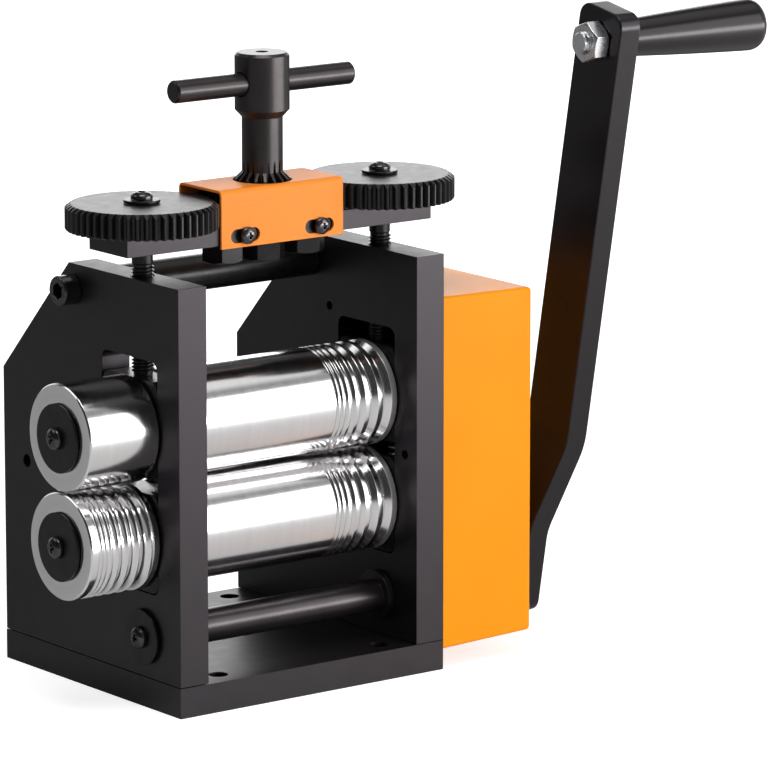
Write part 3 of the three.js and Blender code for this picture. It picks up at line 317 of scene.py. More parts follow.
def moved(piece, matrix):
    """Places a piece, and puts the place into its mesh."""
    select(piece)
    piece.matrix_world = matrix @ piece.matrix_world
    bpy.ops.object.transform_apply(location=True, rotation=True, scale=True)
    return piece


def at(x=0.0, y=0.0, z=0.0):
    return Matrix.Translation((x, y, z))


def shifted(piece, x=0.0, y=0.0, z=0.0):
    return moved(piece, at(x, y, z))


def copied(piece):
    select(piece)
    bpy.ops.object.duplicate()
    return bpy.context.view_layer.objects.active


def discard(*pieces):
    for piece in pieces:
        bpy.data.objects.remove(piece)


def mirrored(piece):
    """A copy on the other side of the mill's middle plane."""
    copy = moved(copied(piece), Matrix.Scale(-1, 4, (1, 0, 0)))
    edit(copy)
    mend_normals()
    return leave_edit()


def brick(size, centre):
    clear_selection()
    bpy.ops.mesh.primitive_cube_add(size=1, location=centre)
    piece = bpy.context.view_layer.objects.active
    piece.scale = size
    bpy.ops.object.transform_apply(location=True, rotation=True, scale=True)
    return piece


def pick_faces(piece, wanted):
    """Selects the faces whose normals are wanted, and stays in edit mode."""
    edit(piece, "FACE")
    bpy.ops.mesh.select_all(action="DESELECT")
    leave_edit()
    for face in piece.data.polygons:
        face.select = wanted(face.normal)
    bpy.ops.object.mode_set(mode="EDIT")


def apply_modifier(piece, kind, **settings):
    select(piece)
    bpy.ops.object.modifier_add(type=kind)
    modifier = piece.modifiers[-1]
    for name, value in settings.items():
        setattr(modifier, name, value)
    bpy.ops.object.modifier_apply(modifier=modifier.name)
    return piece


def combine(piece, tool, operation):
    apply_modifier(piece, "BOOLEAN", object=tool, operation=operation, solver="EXACT")
    discard(tool)
    return piece


def cut(piece, *tools):
    for tool in tools:
        combine(piece, tool, "DIFFERENCE")
    return piece


def softened(piece, width, segments=2, angle=32, smooth=35):
    """Breaks the sharp edges and shades the rest smooth."""
    if width:
        apply_modifier(
            piece, "BEVEL", width=width, segments=segments, limit_method="ANGLE",
            angle_limit=math.radians(angle), miter_outer="MITER_ARC", loop_slide=False,
        )
    select(piece)
    bpy.ops.object.shade_smooth_by_angle(angle=math.radians(smooth))
    apply_modifier(piece, "WEIGHTED_NORMAL", keep_sharp=True, weight=60)
    return piece


def finished(piece, name, body, slot, material, *nodes):
    """Names a piece, gives it its finish, and lets it stand for its CAD nodes on their body."""
    piece.name = name
    piece.data.name = name
    piece.data.materials.clear()
    piece.data.materials.append(material)
    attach(piece, body)
    if nodes:
        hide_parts(*nodes)
    return piece


def fitting(piece, name, body, node):
    """Finishes a blackened block, stud, washer or rod."""
    return finished(piece, name, body, "black_fittings", black_fitting(), node)


def screwed_in(master, matrix, name, body, node):
    """Puts a copy of a screw in its place and finishes it."""
    return finished(moved(copied(master), matrix), name, body, "black_fittings", screw_black(), node)


def steel(piece, name, body, node, material):
    """Finishes a gear, shaft or handle of dark steel."""
    return finished(piece, name, body, "dark_steel", material, node)


# Fasteners, each with its head above z = 0 and its shank below


def cross_recess(head, height, width_share):
    """Two tapered bars that cut the cross of a screw's recess."""
    span, depth = 0.62 * head, 0.6 * height
    taper = (0.35, 0.7, 1)
    bars = []
    for turn in (0, 90):
        bar = brick((span, width_share * head, 2 * depth), (0, 0, height))
        pick_faces(bar, lambda normal: normal.z < -0.5)
        bpy.ops.transform.resize(value=taper)
        leave_edit()
        bars.append(moved(bar, Matrix.Rotation(math.radians(turn), 4, "Z")))
    return bars


def pan_screw(size):
    head, height, core, shank = (part * MM for part in size)
    upright = PAN_CROWN * height
    crown = arc(0, 0, 1, 8, 90, 7)
    profile = [(0, -shank), (core / 2, -shank), (core / 2, 0), (head / 2, 0), (head / 2, upright)]
    profile += [(x * head / 2, upright + y * (height - upright)) for x, y in crown[:-1]] + [(0, height)]
    screw = turned(profile, 40)
    cut(screw, *cross_recess(head, height, sizes().recess_width))
    return softened(screw, 0.12 * MM, segments=1, angle=50, smooth=40)


def cap_screw(size):
    head, height, core, shank = (part * MM for part in size)
    chamfer = 0.6 * MM
    screw = turned([
        (0, -shank), (core / 2, -shank), (core / 2, 0), (head / 2, 0),
        (head / 2, height - chamfer), (head / 2 - chamfer, height), (0, height),
    ], 48)
    cut(screw, prism(hexagon(0.5 * head), height, 0.42 * height))
    return softened(screw, sizes().small_bevel, segments=1)


def washer(diameter, thickness):
    """A washer from z = 0 upwards, with a rounded rim."""
    inner, outer = M5_HOLE / 2, diameter / 2
    ring = turned([(inner, 0), (outer, 0), (outer, thickness), (inner, thickness), (inner, 0)], 64)
    return softened(ring, 0.3 * MM, segments=3)


def threaded(crest, pitch, start, end, steps=40):
    """A threaded rod: one turn's profile, screwed upwards and closed at both ends."""
    depth = THREAD_DEPTH * pitch
    root = crest / 2 - depth
    draw_line([
        (root, 0, start), (root, 0, start + pitch / 8), (crest / 2, 0, start + 7 * pitch / 16),
        (crest / 2, 0, start + 9 * pitch / 16), (root, 0, start + 7 * pitch / 8), (root, 0, start + pitch),
    ])
    piece = leave_edit()
    turns = max(2, round((end - start) / pitch) - 1)
    apply_modifier(
        piece, "SCREW", axis="Z", angle=2 * math.pi, screw_offset=pitch, iterations=turns,
        steps=steps, render_steps=steps, use_merge_vertices=True, merge_threshold=MERGE,
    )
    edit(piece)
    bpy.ops.mesh.select_all(action="SELECT")
    bpy.ops.mesh.remove_doubles(threshold=MERGE)
    bpy.ops.mesh.fill_holes(sides=0)
    mend_normals()
    return leave_edit()


# Gears


def involute(angle):
    return math.tan(angle) - angle


def polar(radius, angle):
    return radius * math.cos(angle), radius * math.sin(angle)


def gear_blank(module, teeth, backlash, pressure, bore, depth, phase=0.0, z=0.0, steps=4):
    """A spur gear: one tooth on its sector is drawn, copied round with spin, and extruded."""
    pitch = module * teeth / 2
    pressure = math.radians(pressure)
    base = pitch * math.cos(pressure)
    root = pitch - 1.25 * module
    tip = pitch + module
    half_tooth = (math.pi * module - backlash) / (4 * pitch) + involute(pressure)
    start = max(root, base)
    radii = [start + (tip - start) * i / steps for i in range(steps + 1)]
    flank = [(radius, half_tooth - involute(math.acos(min(1, base / radius)))) for radius in radii]
    if root < base:
        flank.insert(0, (root, flank[0][1]))
    edge = math.pi / teeth
    sector = [(bore / 2, -edge), (root, -edge)] + [(radius, -half) for radius, half in flank]
    sector += [(radius, half) for radius, half in reversed(flank)] + [(root, edge), (bore / 2, edge)]
    draw_line([(*polar(radius, phase + angle), z) for radius, angle in sector])
    bpy.ops.mesh.edge_face_add()
    share = (teeth - 1) / teeth
    bpy.ops.mesh.spin(
        steps=teeth - 1, dupli=True, angle=2 * math.pi * share, center=(0, 0, 0), axis=(0, 0, 1)
    )
    bpy.ops.mesh.select_all(action="SELECT")
    bpy.ops.mesh.remove_doubles(threshold=MERGE)
    bpy.ops.mesh.extrude_region_move(TRANSFORM_OT_translate={"value": (0, 0, depth)})
    mend_normals()
    return leave_edit()


def mesh_phase(driver_phase, driver_teeth, teeth, line):
    """The phase that puts a gear in mesh with its driver along the line of centres."""
    return line + math.pi - math.pi / teeth - (driver_phase - line) * driver_teeth / teeth


# Finishes


class Field:
    """A number that varies over a surface: sums and products of fields become Math nodes."""

    def __init__(self, shading, socket):
        self.shading = shading
        self.socket = socket

    def math(self, operation, *values):
        node = self.shading.node("ShaderNodeMath", {"operation": operation}, dict(enumerate(values)))
        return Field(self.shading, node.outputs[0])

    def __add__(self, other):
        return self.math("ADD", self, other)

    def __radd__(self, other):
        return self.math("ADD", other, self)

    def __sub__(self, other):
        return self.math("SUBTRACT", self, other)

    def __rsub__(self, other):
        return self.math("SUBTRACT", other, self)

    def __mul__(self, other):
        return self.math("MULTIPLY", self, other)

    def __rmul__(self, other):
        return self.math("MULTIPLY", other, self)

    def __pow__(self, other):
        return self.math("POWER", self, other)

    def either(self, other):
        return self.math("MAXIMUM", self, other)

    def ramp(self, start, end):
        """0 up to the start, 1 from the end on, and smooth between them."""
        settings = {"interpolation_type": "SMOOTHSTEP"}
        inputs = {"Value": self, "From Min": start, "From Max": end}
        return Field(self.shading, self.shading.node("ShaderNodeMapRange", settings, inputs).outputs[0])


class Shading:
    """A node tree, and the one way in which nodes are added to it."""

    def __init__(self, owner, shader_type):
        owner.use_nodes = True
        self.tree = owner.node_tree
        self.shader = next(node for node in self.tree.nodes if node.type == shader_type)

    def node(self, kind, settings=None, inputs=None):
        node = self.tree.nodes.new(kind)
        for name, value in (settings or {}).items():
            setattr(node, name, value)
        for key, value in (inputs or {}).items():
            self.feed(node.inputs[key], value)
        return node

    def feed(self, socket, value):
        if isinstance(value, Field):
            self.tree.links.new(value.socket, socket)
        elif isinstance(value, bpy.types.NodeSocket):
            self.tree.links.new(value, socket)
        else:
            socket.default_value = value

    def axes(self, output="Object"):
        """X, Y and Z of the object's own coordinates, or of another output of Texture Coordinate."""
        place = self.node("ShaderNodeTexCoord").outputs[output]
        return [Field(self, axis) for axis in self.node("ShaderNodeSeparateXYZ", None, {0: place}).outputs]

    def ray(self, kind):
        return Field(self, self.node("ShaderNodeLightPath").outputs[f"Is {kind} Ray"])

    def mix(self, factor, first, second):
        inputs = {0: factor, 6: first, 7: second}
        return self.node("ShaderNodeMix", {"data_type": "RGBA"}, inputs).outputs[2]


class Finish(Shading):
    """A material and its Principled shader. Constants go on the shader's own sockets."""

    def __init__(self, name, **constants):
        self.material = bpy.data.materials.new(name)
        super().__init__(self.material, "BSDF_PRINCIPLED")
        for key, value in constants.items():
            self.shader.inputs[key.replace("_", " ").title().replace("Ior", "IOR")].default_value = value

    def noise(self, scale, detail, stretch=(1, 1, 1)):
        """Noise on the object's own coordinates, with so many cells a metre."""
        place = self.node("ShaderNodeTexCoord").outputs["Object"]
        mapping = self.node("ShaderNodeMapping", None, {"Vector": place, "Scale": stretch})
        inputs = {"Vector": mapping.outputs[0], "Scale": scale, "Detail": detail}
        return Field(self, self.node("ShaderNodeTexNoise", None, inputs).outputs[0])

    def lines(self, field, scale, detail):
        """Noise along one number only, for turning and grinding marks."""
        inputs = {"W": field, "Scale": scale, "Detail": detail}
        return Field(self, self.node("ShaderNodeTexNoise", {"noise_dimensions": "1D"}, inputs).outputs[0])

    def bump(self, height, distance, strength):
        inputs = {"Height": height, "Distance": distance, "Strength": strength}
        self.feed(self.shader.inputs["Normal"], self.node("ShaderNodeBump", None, inputs).outputs[0])

    def paint(self, value):
        self.feed(self.shader.inputs["Base Color"], value)

    def rough(self, value):
        self.feed(self.shader.inputs["Roughness"], value)


def shade(rgb, factor):
    """A colour made lighter or darker, with alpha."""
    return tuple(min(1.0, channel * factor) for channel in rgb) + (1.0,)


def kept(make):
    """Each finish is made once and then shared."""
    made = {}

    def finish():
        if make not in made:
            made[make] = make()
        return made[make]

    return finish


def grained(name, colours, mottle, sheen, grain, **constants):
    """A finish in three noises, each given by its scale and detail: the mottle between two
    colours, the sheen with its level and spread, and the grain with its depth and strength."""
    finish = Finish(name, **constants)
    finish.paint(finish.mix(finish.noise(*mottle), *colours))
    scale, detail, level, spread = sheen
    finish.rough(level + spread * (finish.noise(scale, detail) - 0.5))
    scale, detail, depth, strength = grain
    finish.bump(finish.noise(scale, detail), depth * MM, strength)
    return finish.material


def shades(rgb, dark, light):
    return shade(rgb, dark), shade(rgb, light)


def blackened(name, specular, roughness, grain):
    """Black oxide on ground steel: faint mottling, a fine grain and uneven sheen."""
    colours = shades(finishes().black_oxide, 0.75, 1.3)
    return grained(
        name, colours, (55, 4), (140, 3, roughness, 0.12), (grain, 3, 0.03, 0.35),
        metallic=0.0, specular_ior_level=specular, specular_tint=(1.0, 0.91, 0.98, 1.0),
    )


@kept
def black_plate():
    return blackened("black oxide plate", 0.5, 0.4, 1500)


@kept
def black_arm():
    return blackened("black arm", 0.42, 0.3, 900)


@kept
def black_fitting():
    colours = shades(finishes().black_fitting, 0.7, 2.2)
    sheen, grain = (300, 2, 0.3, 0.14), (2200, 2, 0.02, 0.3)
    return grained("black fitting", colours, (160, 3), sheen, grain, metallic=0.6)


@kept
def screw_black():
    """Blackened screw heads, smoother than the rest and lighter where a driver has worn them."""
    colours = (0.035, 0.034, 0.036, 1), (0.13, 0.125, 0.13, 1)
    sheen, grain = (600, 2, 0.2, 0.12), (2400, 2, 0.015, 0.3)
    return grained("black screw", colours, (500, 3), sheen, grain, metallic=0.9)


@kept
def gear_steel():
    """Dark machined steel."""
    colours = shades(finishes().gear_steel, 0.7, 1.5)
    sheen, grain = (220, 3, 0.36, 0.12), (2600, 2, 0.02, 0.35)
    return grained("dark gear steel", colours, (90, 4), sheen, grain, metallic=0.75)


@kept
def handle_steel():
    """The T-handle, turned on a lathe and darkened."""
    finish = Finish("dark handle steel", metallic=0.8)
    marks = finish.lines(finish.axes()[2], 5200, 2)
    finish.paint(finish.mix(finish.noise(70, 4), *shades(finishes().handle_steel, 0.75, 1.35)))
    finish.rough(0.3 + 0.1 * (marks - 0.5))
    finish.bump(marks, 0.012 * MM, 0.5)
    return finish.material


def polished(name, axis):
    """Ground and polished roller steel, with fine rings round its axis and a matt land at the right end."""
    finish = Finish(name, metallic=1.0)
    x, y, z = finish.axes()
    across = y - axis.y
    above = z - axis.z
    along = x + (across * across + above * above) ** 0.5
    rings = finish.lines(along, 3000, 3)
    broad = finish.lines(along, 260, 2)
    finish.paint(finish.mix(broad, *shades(finishes().roller_steel, 0.9, 1.03)))
    land_start, land_edge = 51.5 * MM, 51.7 * MM
    land = x.ramp(land_start, land_edge)
    finish.rough((0.155 + 0.07 * (rings - 0.5) + 0.05 * (broad - 0.5)).either(0.5 * land))
    finish.bump(rings, 0.012 * MM, 0.4)
    return finish.material


@kept
def upper_polish():
    return polished("polished upper roller", UPPER_AXIS)


@kept
def lower_polish():
    return polished("polished lower roller", LOWER_AXIS)


def roller_rows():
    """Each row of rollers with its axis and finish."""
    return ("upper", UPPER_AXIS, upper_polish()), ("lower", LOWER_AXIS, lower_polish())


@kept
def cover_paint():
    """Orange paint with a faint orange-peel surface."""
    colours = shades(finishes().cover_paint, 0.9, 1.06)
    return grained(
        "gloss orange cover", colours, (18, 3), (120, 2, 0.36, 0.06), (700, 2, 0.02, 0.5),
        metallic=0.0, specular_ior_level=0.08,
    )


@kept
def guard_paint():
    """Satin orange over sheet that shows its rolling grain along X."""
    finish = Finish("satin orange guard", metallic=0.0, specular_ior_level=0.16)
    grain = finish.noise(900, 3, (0.12, 1, 1))
    finish.paint(finish.mix(grain, *shades(finishes().guard_paint, 0.92, 1.1)))
    finish.rough(0.42 + 0.2 * (grain - 0.5))
    finish.bump(grain, 0.03 * MM, 0.5)
    return finish.material


@kept
def spring_wire():
    finish = Finish("bright spring wire", metallic=1.0, roughness=0.28)
    finish.paint(finish.mix(finish.noise(400, 2), (0.3, 0.3, 0.31, 1), (0.5, 0.5, 0.51, 1)))
    finish.bump(finish.noise(3000, 2), 0.01 * MM, 0.3)
    return finish.material


@kept
def zinc_plate():
    colours = shades(finishes().zinc, 0.8, 1.12)
    sheen, grain = (500, 2, 0.26, 0.16), (1800, 2, 0.015, 0.3)
    return grained("zinc plate", colours, (220, 3), sheen, grain, metallic=1.0)


@kept
def grip_plastic():
    """Smooth black moulded plastic with the faint waviness of a moulding."""
    colours = shades(finishes().grip, 0.85, 1.15)
    return grained(
        "smooth black plastic", colours, (60, 2), (180, 2, 0.22, 0.06), (420, 2, 0.02, 0.4),
        metallic=0.0, specular_ior_level=0.38, specular_tint=(1.0, 0.94, 0.98, 1.0),
    )


# Operators, one for each piece or group of like pieces


class MillOperator:
    bl_options = {"REGISTER", "UNDO"}

    def execute(self, context):
        self.make(context.scene.mill_sizes)
        return {"FINISHED"}


class MILL_OT_base(MillOperator, bpy.types.Operator):
    """Base plate with its bench holes, and the four screws from below"""

    bl_idname = "mill.base"
    bl_label = "Base plate"

    def make(self, sizes):
        left, right = low("base_plate"), high("base_plate")
        outline = [(left.x, left.y), (right.x, left.y), (right.x, right.y), (left.x, right.y)]
        base = prism(outline, right.z)
        through = right.z + 2 * PAST
        for x in (-BENCH_HOLE["x"], BENCH_HOLE["x"]):
            for y in (-BENCH_HOLE["y"], BENCH_HOLE["y"]):
                cut(base, shifted(rod(BENCH_HOLE["diameter"], through, -PAST), x, y))
        hole = BASE_SCREW_HOLE
        seats = [
            (f"{side}_{end}", x, middle(f"base_screw_{side}_{end}").y)
            for side, x in SIDES for end in ("front", "back")
        ]
        for corner, x, y in seats:
            bore = shifted(rod(hole["bore"], through, -PAST), x, y)
            cut(base, bore, shifted(rod(hole["counterbore"], hole["depth"] + PAST, -PAST), x, y))
        softened(base, sizes.plate_bevel)
        finished(base, "base", "frame", "black_plate", black_plate(), "base_plate")
        screw = cap_screw(BASE_CAP)
        head = BASE_CAP[1] * MM
        for corner, x, y in seats:
            seat = at(x, y, head) @ DOWNWARDS
            screwed_in(screw, seat, f"base_cap_{corner}", "frame", f"base_screw_{corner}")
        discard(screw)


class MILL_OT_side_plates(MillOperator, bpy.types.Operator):
    """Two slotted side plates, the right one with the gear cover's posts"""

    bl_idname = "mill.side_plates"
    bl_label = "Side plates"

    def plate(self, side, left_face, x):
        plate = prism([
            (FRONT, PLATE_FOOT), (BACK, PLATE_FOOT), (BACK, SLOPE_FOOT),
            (SLOPE_TOP, PLATE_TOP), (FRONT, PLATE_TOP),
        ], PLATE_THICKNESS)
        through = PLATE_THICKNESS + 2 * PAST
        half = SLOT["width"] / 2
        slot = rounded_rectangle(ROLLER_Y - half, ROLLER_Y + half, SLOT["floor"], SLOT["top"], SLOT["corner"])
        cut(plate, prism(slot, through, -PAST))
        tie = middle("tie_bar")
        for diameter, y, z in (
            (CRANK_HOLE, CRANK_AXIS.y, CRANK_AXIS.z),
            (CAP_HOLE, tie.y, tie.z),
            (REAR_HOLE["diameter"], FRONT + REAR_HOLE["from_front"], REAR_HOLE["height"]),
        ):
            cut(plate, shifted(rod(diameter, through, -PAST), y, z))
        guide_start = PLATE_THICKNESS - GUIDE_HOLE["depth"] if side == "left" else -PAST
        guide = rod(GUIDE_HOLE["diameter"], GUIDE_HOLE["depth"] + PAST, guide_start)
        cut(plate, shifted(guide, FRONT + GUIDE_HOLE["from_front"], GUIDE_HOLE["height"]))
        moved(plate, at(left_face) @ ACROSS)
        bore = rod(SCREW_HOLE, PLATE_TOP - SLOT["top"] + 2 * PAST, SLOT["top"] - PAST)
        return cut(plate, shifted(bore, x, ROLLER_Y))

    def add_posts(self, plate):
        reach = high("right_side_plate").x - OUTER_FACE
        for node in ("gear_cover_screw_top", "gear_cover_screw_bottom"):
            post = rod(POST["diameter"], reach + PAST, OUTER_FACE - PAST)
            cut(post, rod(M5_HOLE, 2 * POST["thread"], OUTER_FACE + reach - POST["thread"]))
            place = middle(node)
            combine(plate, moved(post, at(0, place.y, place.z) @ ACROSS), "UNION")

    def make(self, sizes):
        left = self.plate("left", -OUTER_FACE, -SCREW_X)
        right = self.plate("right", INNER_FACE, SCREW_X)
        tapped = rod(TAPPED_HOLE["diameter"], TAPPED_HOLE["depth"] + PAST)
        shifted(tapped, TAPPED_HOLE["y"], TAPPED_HOLE["height"])
        cut(right, moved(tapped, at(INNER_FACE - PAST) @ ACROSS))
        self.add_posts(right)
        for side, plate in (("left", left), ("right", right)):
            softened(plate, sizes.plate_bevel)
            finished(plate, f"plate_{side}", "frame", "black_plate", black_plate(), f"{side}_side_plate")


class MILL_OT_tie_bar(MillOperator, bpy.types.Operator):
    """Round tie bar between the plates, with a cap screw at each end"""

    bl_idname = "mill.tie_bar"
    bl_label = "Tie bar"

    def make(self, sizes):
        start, end = low("tie_bar"), high("tie_bar")
        place = middle("tie_bar")
        bar = softened(rod(end.z - start.z, end.x - start.x, start.x, 64), 0.5 * MM)
        fitting(moved(bar, at(0, place.y, place.z) @ ACROSS), "tie_rod", "frame", "tie_bar")
        screw = cap_screw(TIE_CAP)
        face = OUTER_FACE + CLEARANCE
        for side, x, way in (("left", -face, LEFTWARDS), ("right", face, ACROSS)):
            node = f"tie_bar_screw_{side}"
            screwed_in(screw, at(x, place.y, place.z) @ way, f"tie_cap_{side}", "frame", node)
        discard(screw)


class MILL_OT_bearing_blocks(MillOperator, bpy.types.Operator):
    """Four bearing blocks that slide in the plates' slots, with pockets for the springs"""

    bl_idname = "mill.bearing_blocks"
    bl_label = "Bearing blocks"

    def block(self, node, axis_z, opens_up):
        start, end, x = low(node), high(node), middle(node).x
        width = end.x - start.x
        block = prism(rounded_rectangle(start.y, end.y, start.z, end.z, BLOCK["corner"]), width)
        cut(block, shifted(rod(BLOCK["bore"], width + 2 * PAST, -PAST), ROLLER_Y, axis_z))
        moved(block, at(start.x) @ ACROSS)
        depth = SPRING_POCKET["depth"]
        foot = end.z - depth if opens_up else start.z - PAST
        for offset in (-SPRING["offset"], SPRING["offset"]):
            cut(block, shifted(rod(SPRING_POCKET["diameter"], depth + PAST, foot), x, ROLLER_Y + offset))
        if not opens_up:
            depth = BLOCK["socket_depth"]
            cut(block, shifted(rod(BLOCK["socket"], depth + PAST, end.z - depth), x, ROLLER_Y))
        return softened(block, 0.4 * MM)

    def make(self, sizes):
        for row, axis, opens_up, body in (
            ("lower", LOWER_AXIS, True, "frame"), ("upper", UPPER_AXIS, False, "carriage"),
        ):
            node = f"{row}_bearing_block_"
            block = self.block(node + "left", axis.z, opens_up)
            for side, piece in (("left", block), ("right", mirrored(block))):
                fitting(piece, f"{row}_block_{side}", body, node + side)


class MILL_OT_springs(MillOperator, bpy.types.Operator):
    """Four springs between the blocks"""

    bl_idname = "mill.springs"
    bl_label = "Springs"

    def make(self, sizes):
        foot, head = low("left_front_spring").z, high("left_front_spring").z
        wire = SPRING["wire"]
        rise = (head - foot - wire) / SPRING["curls"]
        clear_selection()
        bpy.ops.mesh.primitive_circle_add(
            vertices=12, radius=wire / 2, location=(SPRING["radius"], 0, wire / 2),
            rotation=(math.pi / 2, 0, 0),
        )
        spring = bpy.context.view_layer.objects.active
        bpy.ops.object.transform_apply(location=True, rotation=True, scale=True)
        apply_modifier(
            spring, "SCREW", axis="Z", angle=2 * math.pi, screw_offset=rise, iterations=SPRING["curls"],
            steps=32, render_steps=32,
        )
        edit(spring)
        bpy.ops.mesh.select_all(action="SELECT")
        bpy.ops.mesh.fill_holes(sides=0)
        mend_normals()
        leave_edit()
        softened(spring, 0, smooth=60)
        for side, x in SIDES:
            for end, offset in (("front", -SPRING["offset"]), ("back", SPRING["offset"])):
                place = Vector((x, ROLLER_Y + offset, foot))
                copy = shifted(copied(spring), *place)
                copy.name = f"coil_{side}_{end}"
                copy.data.name = copy.name
                copy.data.materials.append(spring_wire())
                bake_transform(copy)
                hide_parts(f"{side}_{end}_spring")
        discard(spring)


class MILL_OT_rollers(MillOperator, bpy.types.Operator):
    """Two main rollers with their grooves for square wire"""

    bl_idname = "mill.rollers"
    bl_label = "Rollers"

    def grooves(self, radius, edge):
        points = [(radius, edge)]
        for pitch in WIRE_GROOVES:
            half = GROOVE_SHARE * pitch / 2
            points = [(radius, edge - 2 * half), (radius - half, edge - half)] + points
            edge -= pitch
            points.insert(0, (radius, edge))
        return points

    def make(self, sizes):
        radius = sizes.roller_diameter / 2
        journal = sizes.journal_diameter / 2
        left_stub, right_stub = STUB_RADIUS["side_roller"], STUB_RADIUS["gear"]
        end = INNER_FACE - CLEARANCE
        shoulder = OUTER_FACE + CLEARANCE
        chamfer = 0.5 * MM
        for row, axis, material in roller_rows():
            node = f"{row}_roller"
            left, right = low(node).x, high(node).x
            roller = turned([
                (0, left), (left_stub, left), (left_stub, -shoulder), (journal, -shoulder),
                (journal, -end), (radius - chamfer, -end), (radius, chamfer - end),
                *self.grooves(radius, end - GROOVE_END_LAND),
                (radius, end - chamfer), (radius - chamfer, end), (journal, end), (journal, shoulder),
                (right_stub, shoulder), (right_stub, right), (0, right),
            ], 128)
            softened(roller, 0.14 * MM, angle=28, smooth=28)
            moved(roller, at(0, axis.y, axis.z) @ ACROSS)
            finished(roller, f"roller_{row}", f"{node}_unit", "polished_roller", material, node)


class MILL_OT_side_rollers(MillOperator, bpy.types.Operator):
    """The plain and the half-round grooved side roller, with their washers and screws"""

    bl_idname = "mill.side_rollers"
    bl_label = "Side rollers"

    def grooves(self, radius, edge):
        points = [(radius, edge)]
        for width in HALF_ROUND_GROOVES:
            depth = HALF_ROUND_DEPTH * width
            hollow = [
                (radius - depth * math.sin(angle), edge - width * (1 + math.cos(angle)) / 2)
                for angle in (math.pi * i / 8 for i in range(1, 8))
            ]
            points = [(radius, edge - width)] + hollow + points
            edge -= width
        return points

    def make(self, sizes):
        radius, bore, chamfer = sizes.roller_diameter / 2, 8.3 * MM, 0.6 * MM
        screw = pan_screw(M5_PAN)
        disc = washer(*SIDE_WASHER)
        for row, axis, material in roller_rows():
            node, washer_node, unit = f"{row}_side_roller", f"{row}_side_washer", f"{row}_roller_unit"
            reach = high(node).x - low(node).x
            grooves = self.grooves(radius, reach - SIDE_GROOVE_END_LAND) if row == "lower" else []
            body = turned([
                (bore, 0), (radius - chamfer, 0), (radius, chamfer), *grooves, (radius, reach - chamfer),
                (radius - chamfer, reach), (bore, reach), (bore, 0),
            ], 128)
            softened(body, 0.14 * MM, angle=28, smooth=28)
            moved(body, at(low(node).x, axis.y, axis.z) @ ACROSS)
            finished(body, f"side_roller_{row}", unit, "polished_roller", material, node)
            copy = moved(copied(disc), at(high(washer_node).x, axis.y, axis.z) @ LEFTWARDS)
            fitting(copy, f"side_disc_{row}", unit, washer_node)
            place = at(low(washer_node).x - CLEARANCE, axis.y, axis.z) @ LEFTWARDS
            screwed_in(screw, place, f"side_pan_{row}", unit, f"{row}_side_screw")
        discard(screw, disc)


class MILL_OT_adjusting_screws(MillOperator, bpy.types.Operator):
    """Two threaded adjusting screws that press on the upper blocks"""

    bl_idname = "mill.adjusting_screws"
    bl_label = "Adjusting screws"

    def make(self, sizes):
        foot, top = low("left_adjusting_screw").z, high("left_adjusting_screw").z
        shoulder = high("upper_bearing_block_left").z + CLEARANCE
        thread_top = PLATE_TOP + 5 * MM
        neck_top = low("bridge_bar").z - CLEARANCE
        tip, neck, spigot = 3.5 * MM, 4.5 * MM, SPIGOT / 2
        root = sizes.thread_crest / 2 - THREAD_DEPTH * sizes.thread_pitch
        core = root + 0.02 * MM
        screw = turned([
            (0, foot), (tip, foot), (tip, shoulder), (root, shoulder), (core, shoulder), (core, thread_top),
            (neck, thread_top + 0.6 * MM), (neck, neck_top), (spigot, neck_top), (spigot, top), (0, top),
        ], 40)
        thread = threaded(sizes.thread_crest, sizes.thread_pitch, shoulder + 0.1 * MM, thread_top)
        combine(screw, thread, "UNION")
        softened(screw, 0, smooth=25)
        for side, x in SIDES:
            copy = shifted(copied(screw), x, ROLLER_Y)
            fitting(copy, f"screw_{side}", f"{side}_screw_unit", f"{side}_adjusting_screw")
        discard(screw)


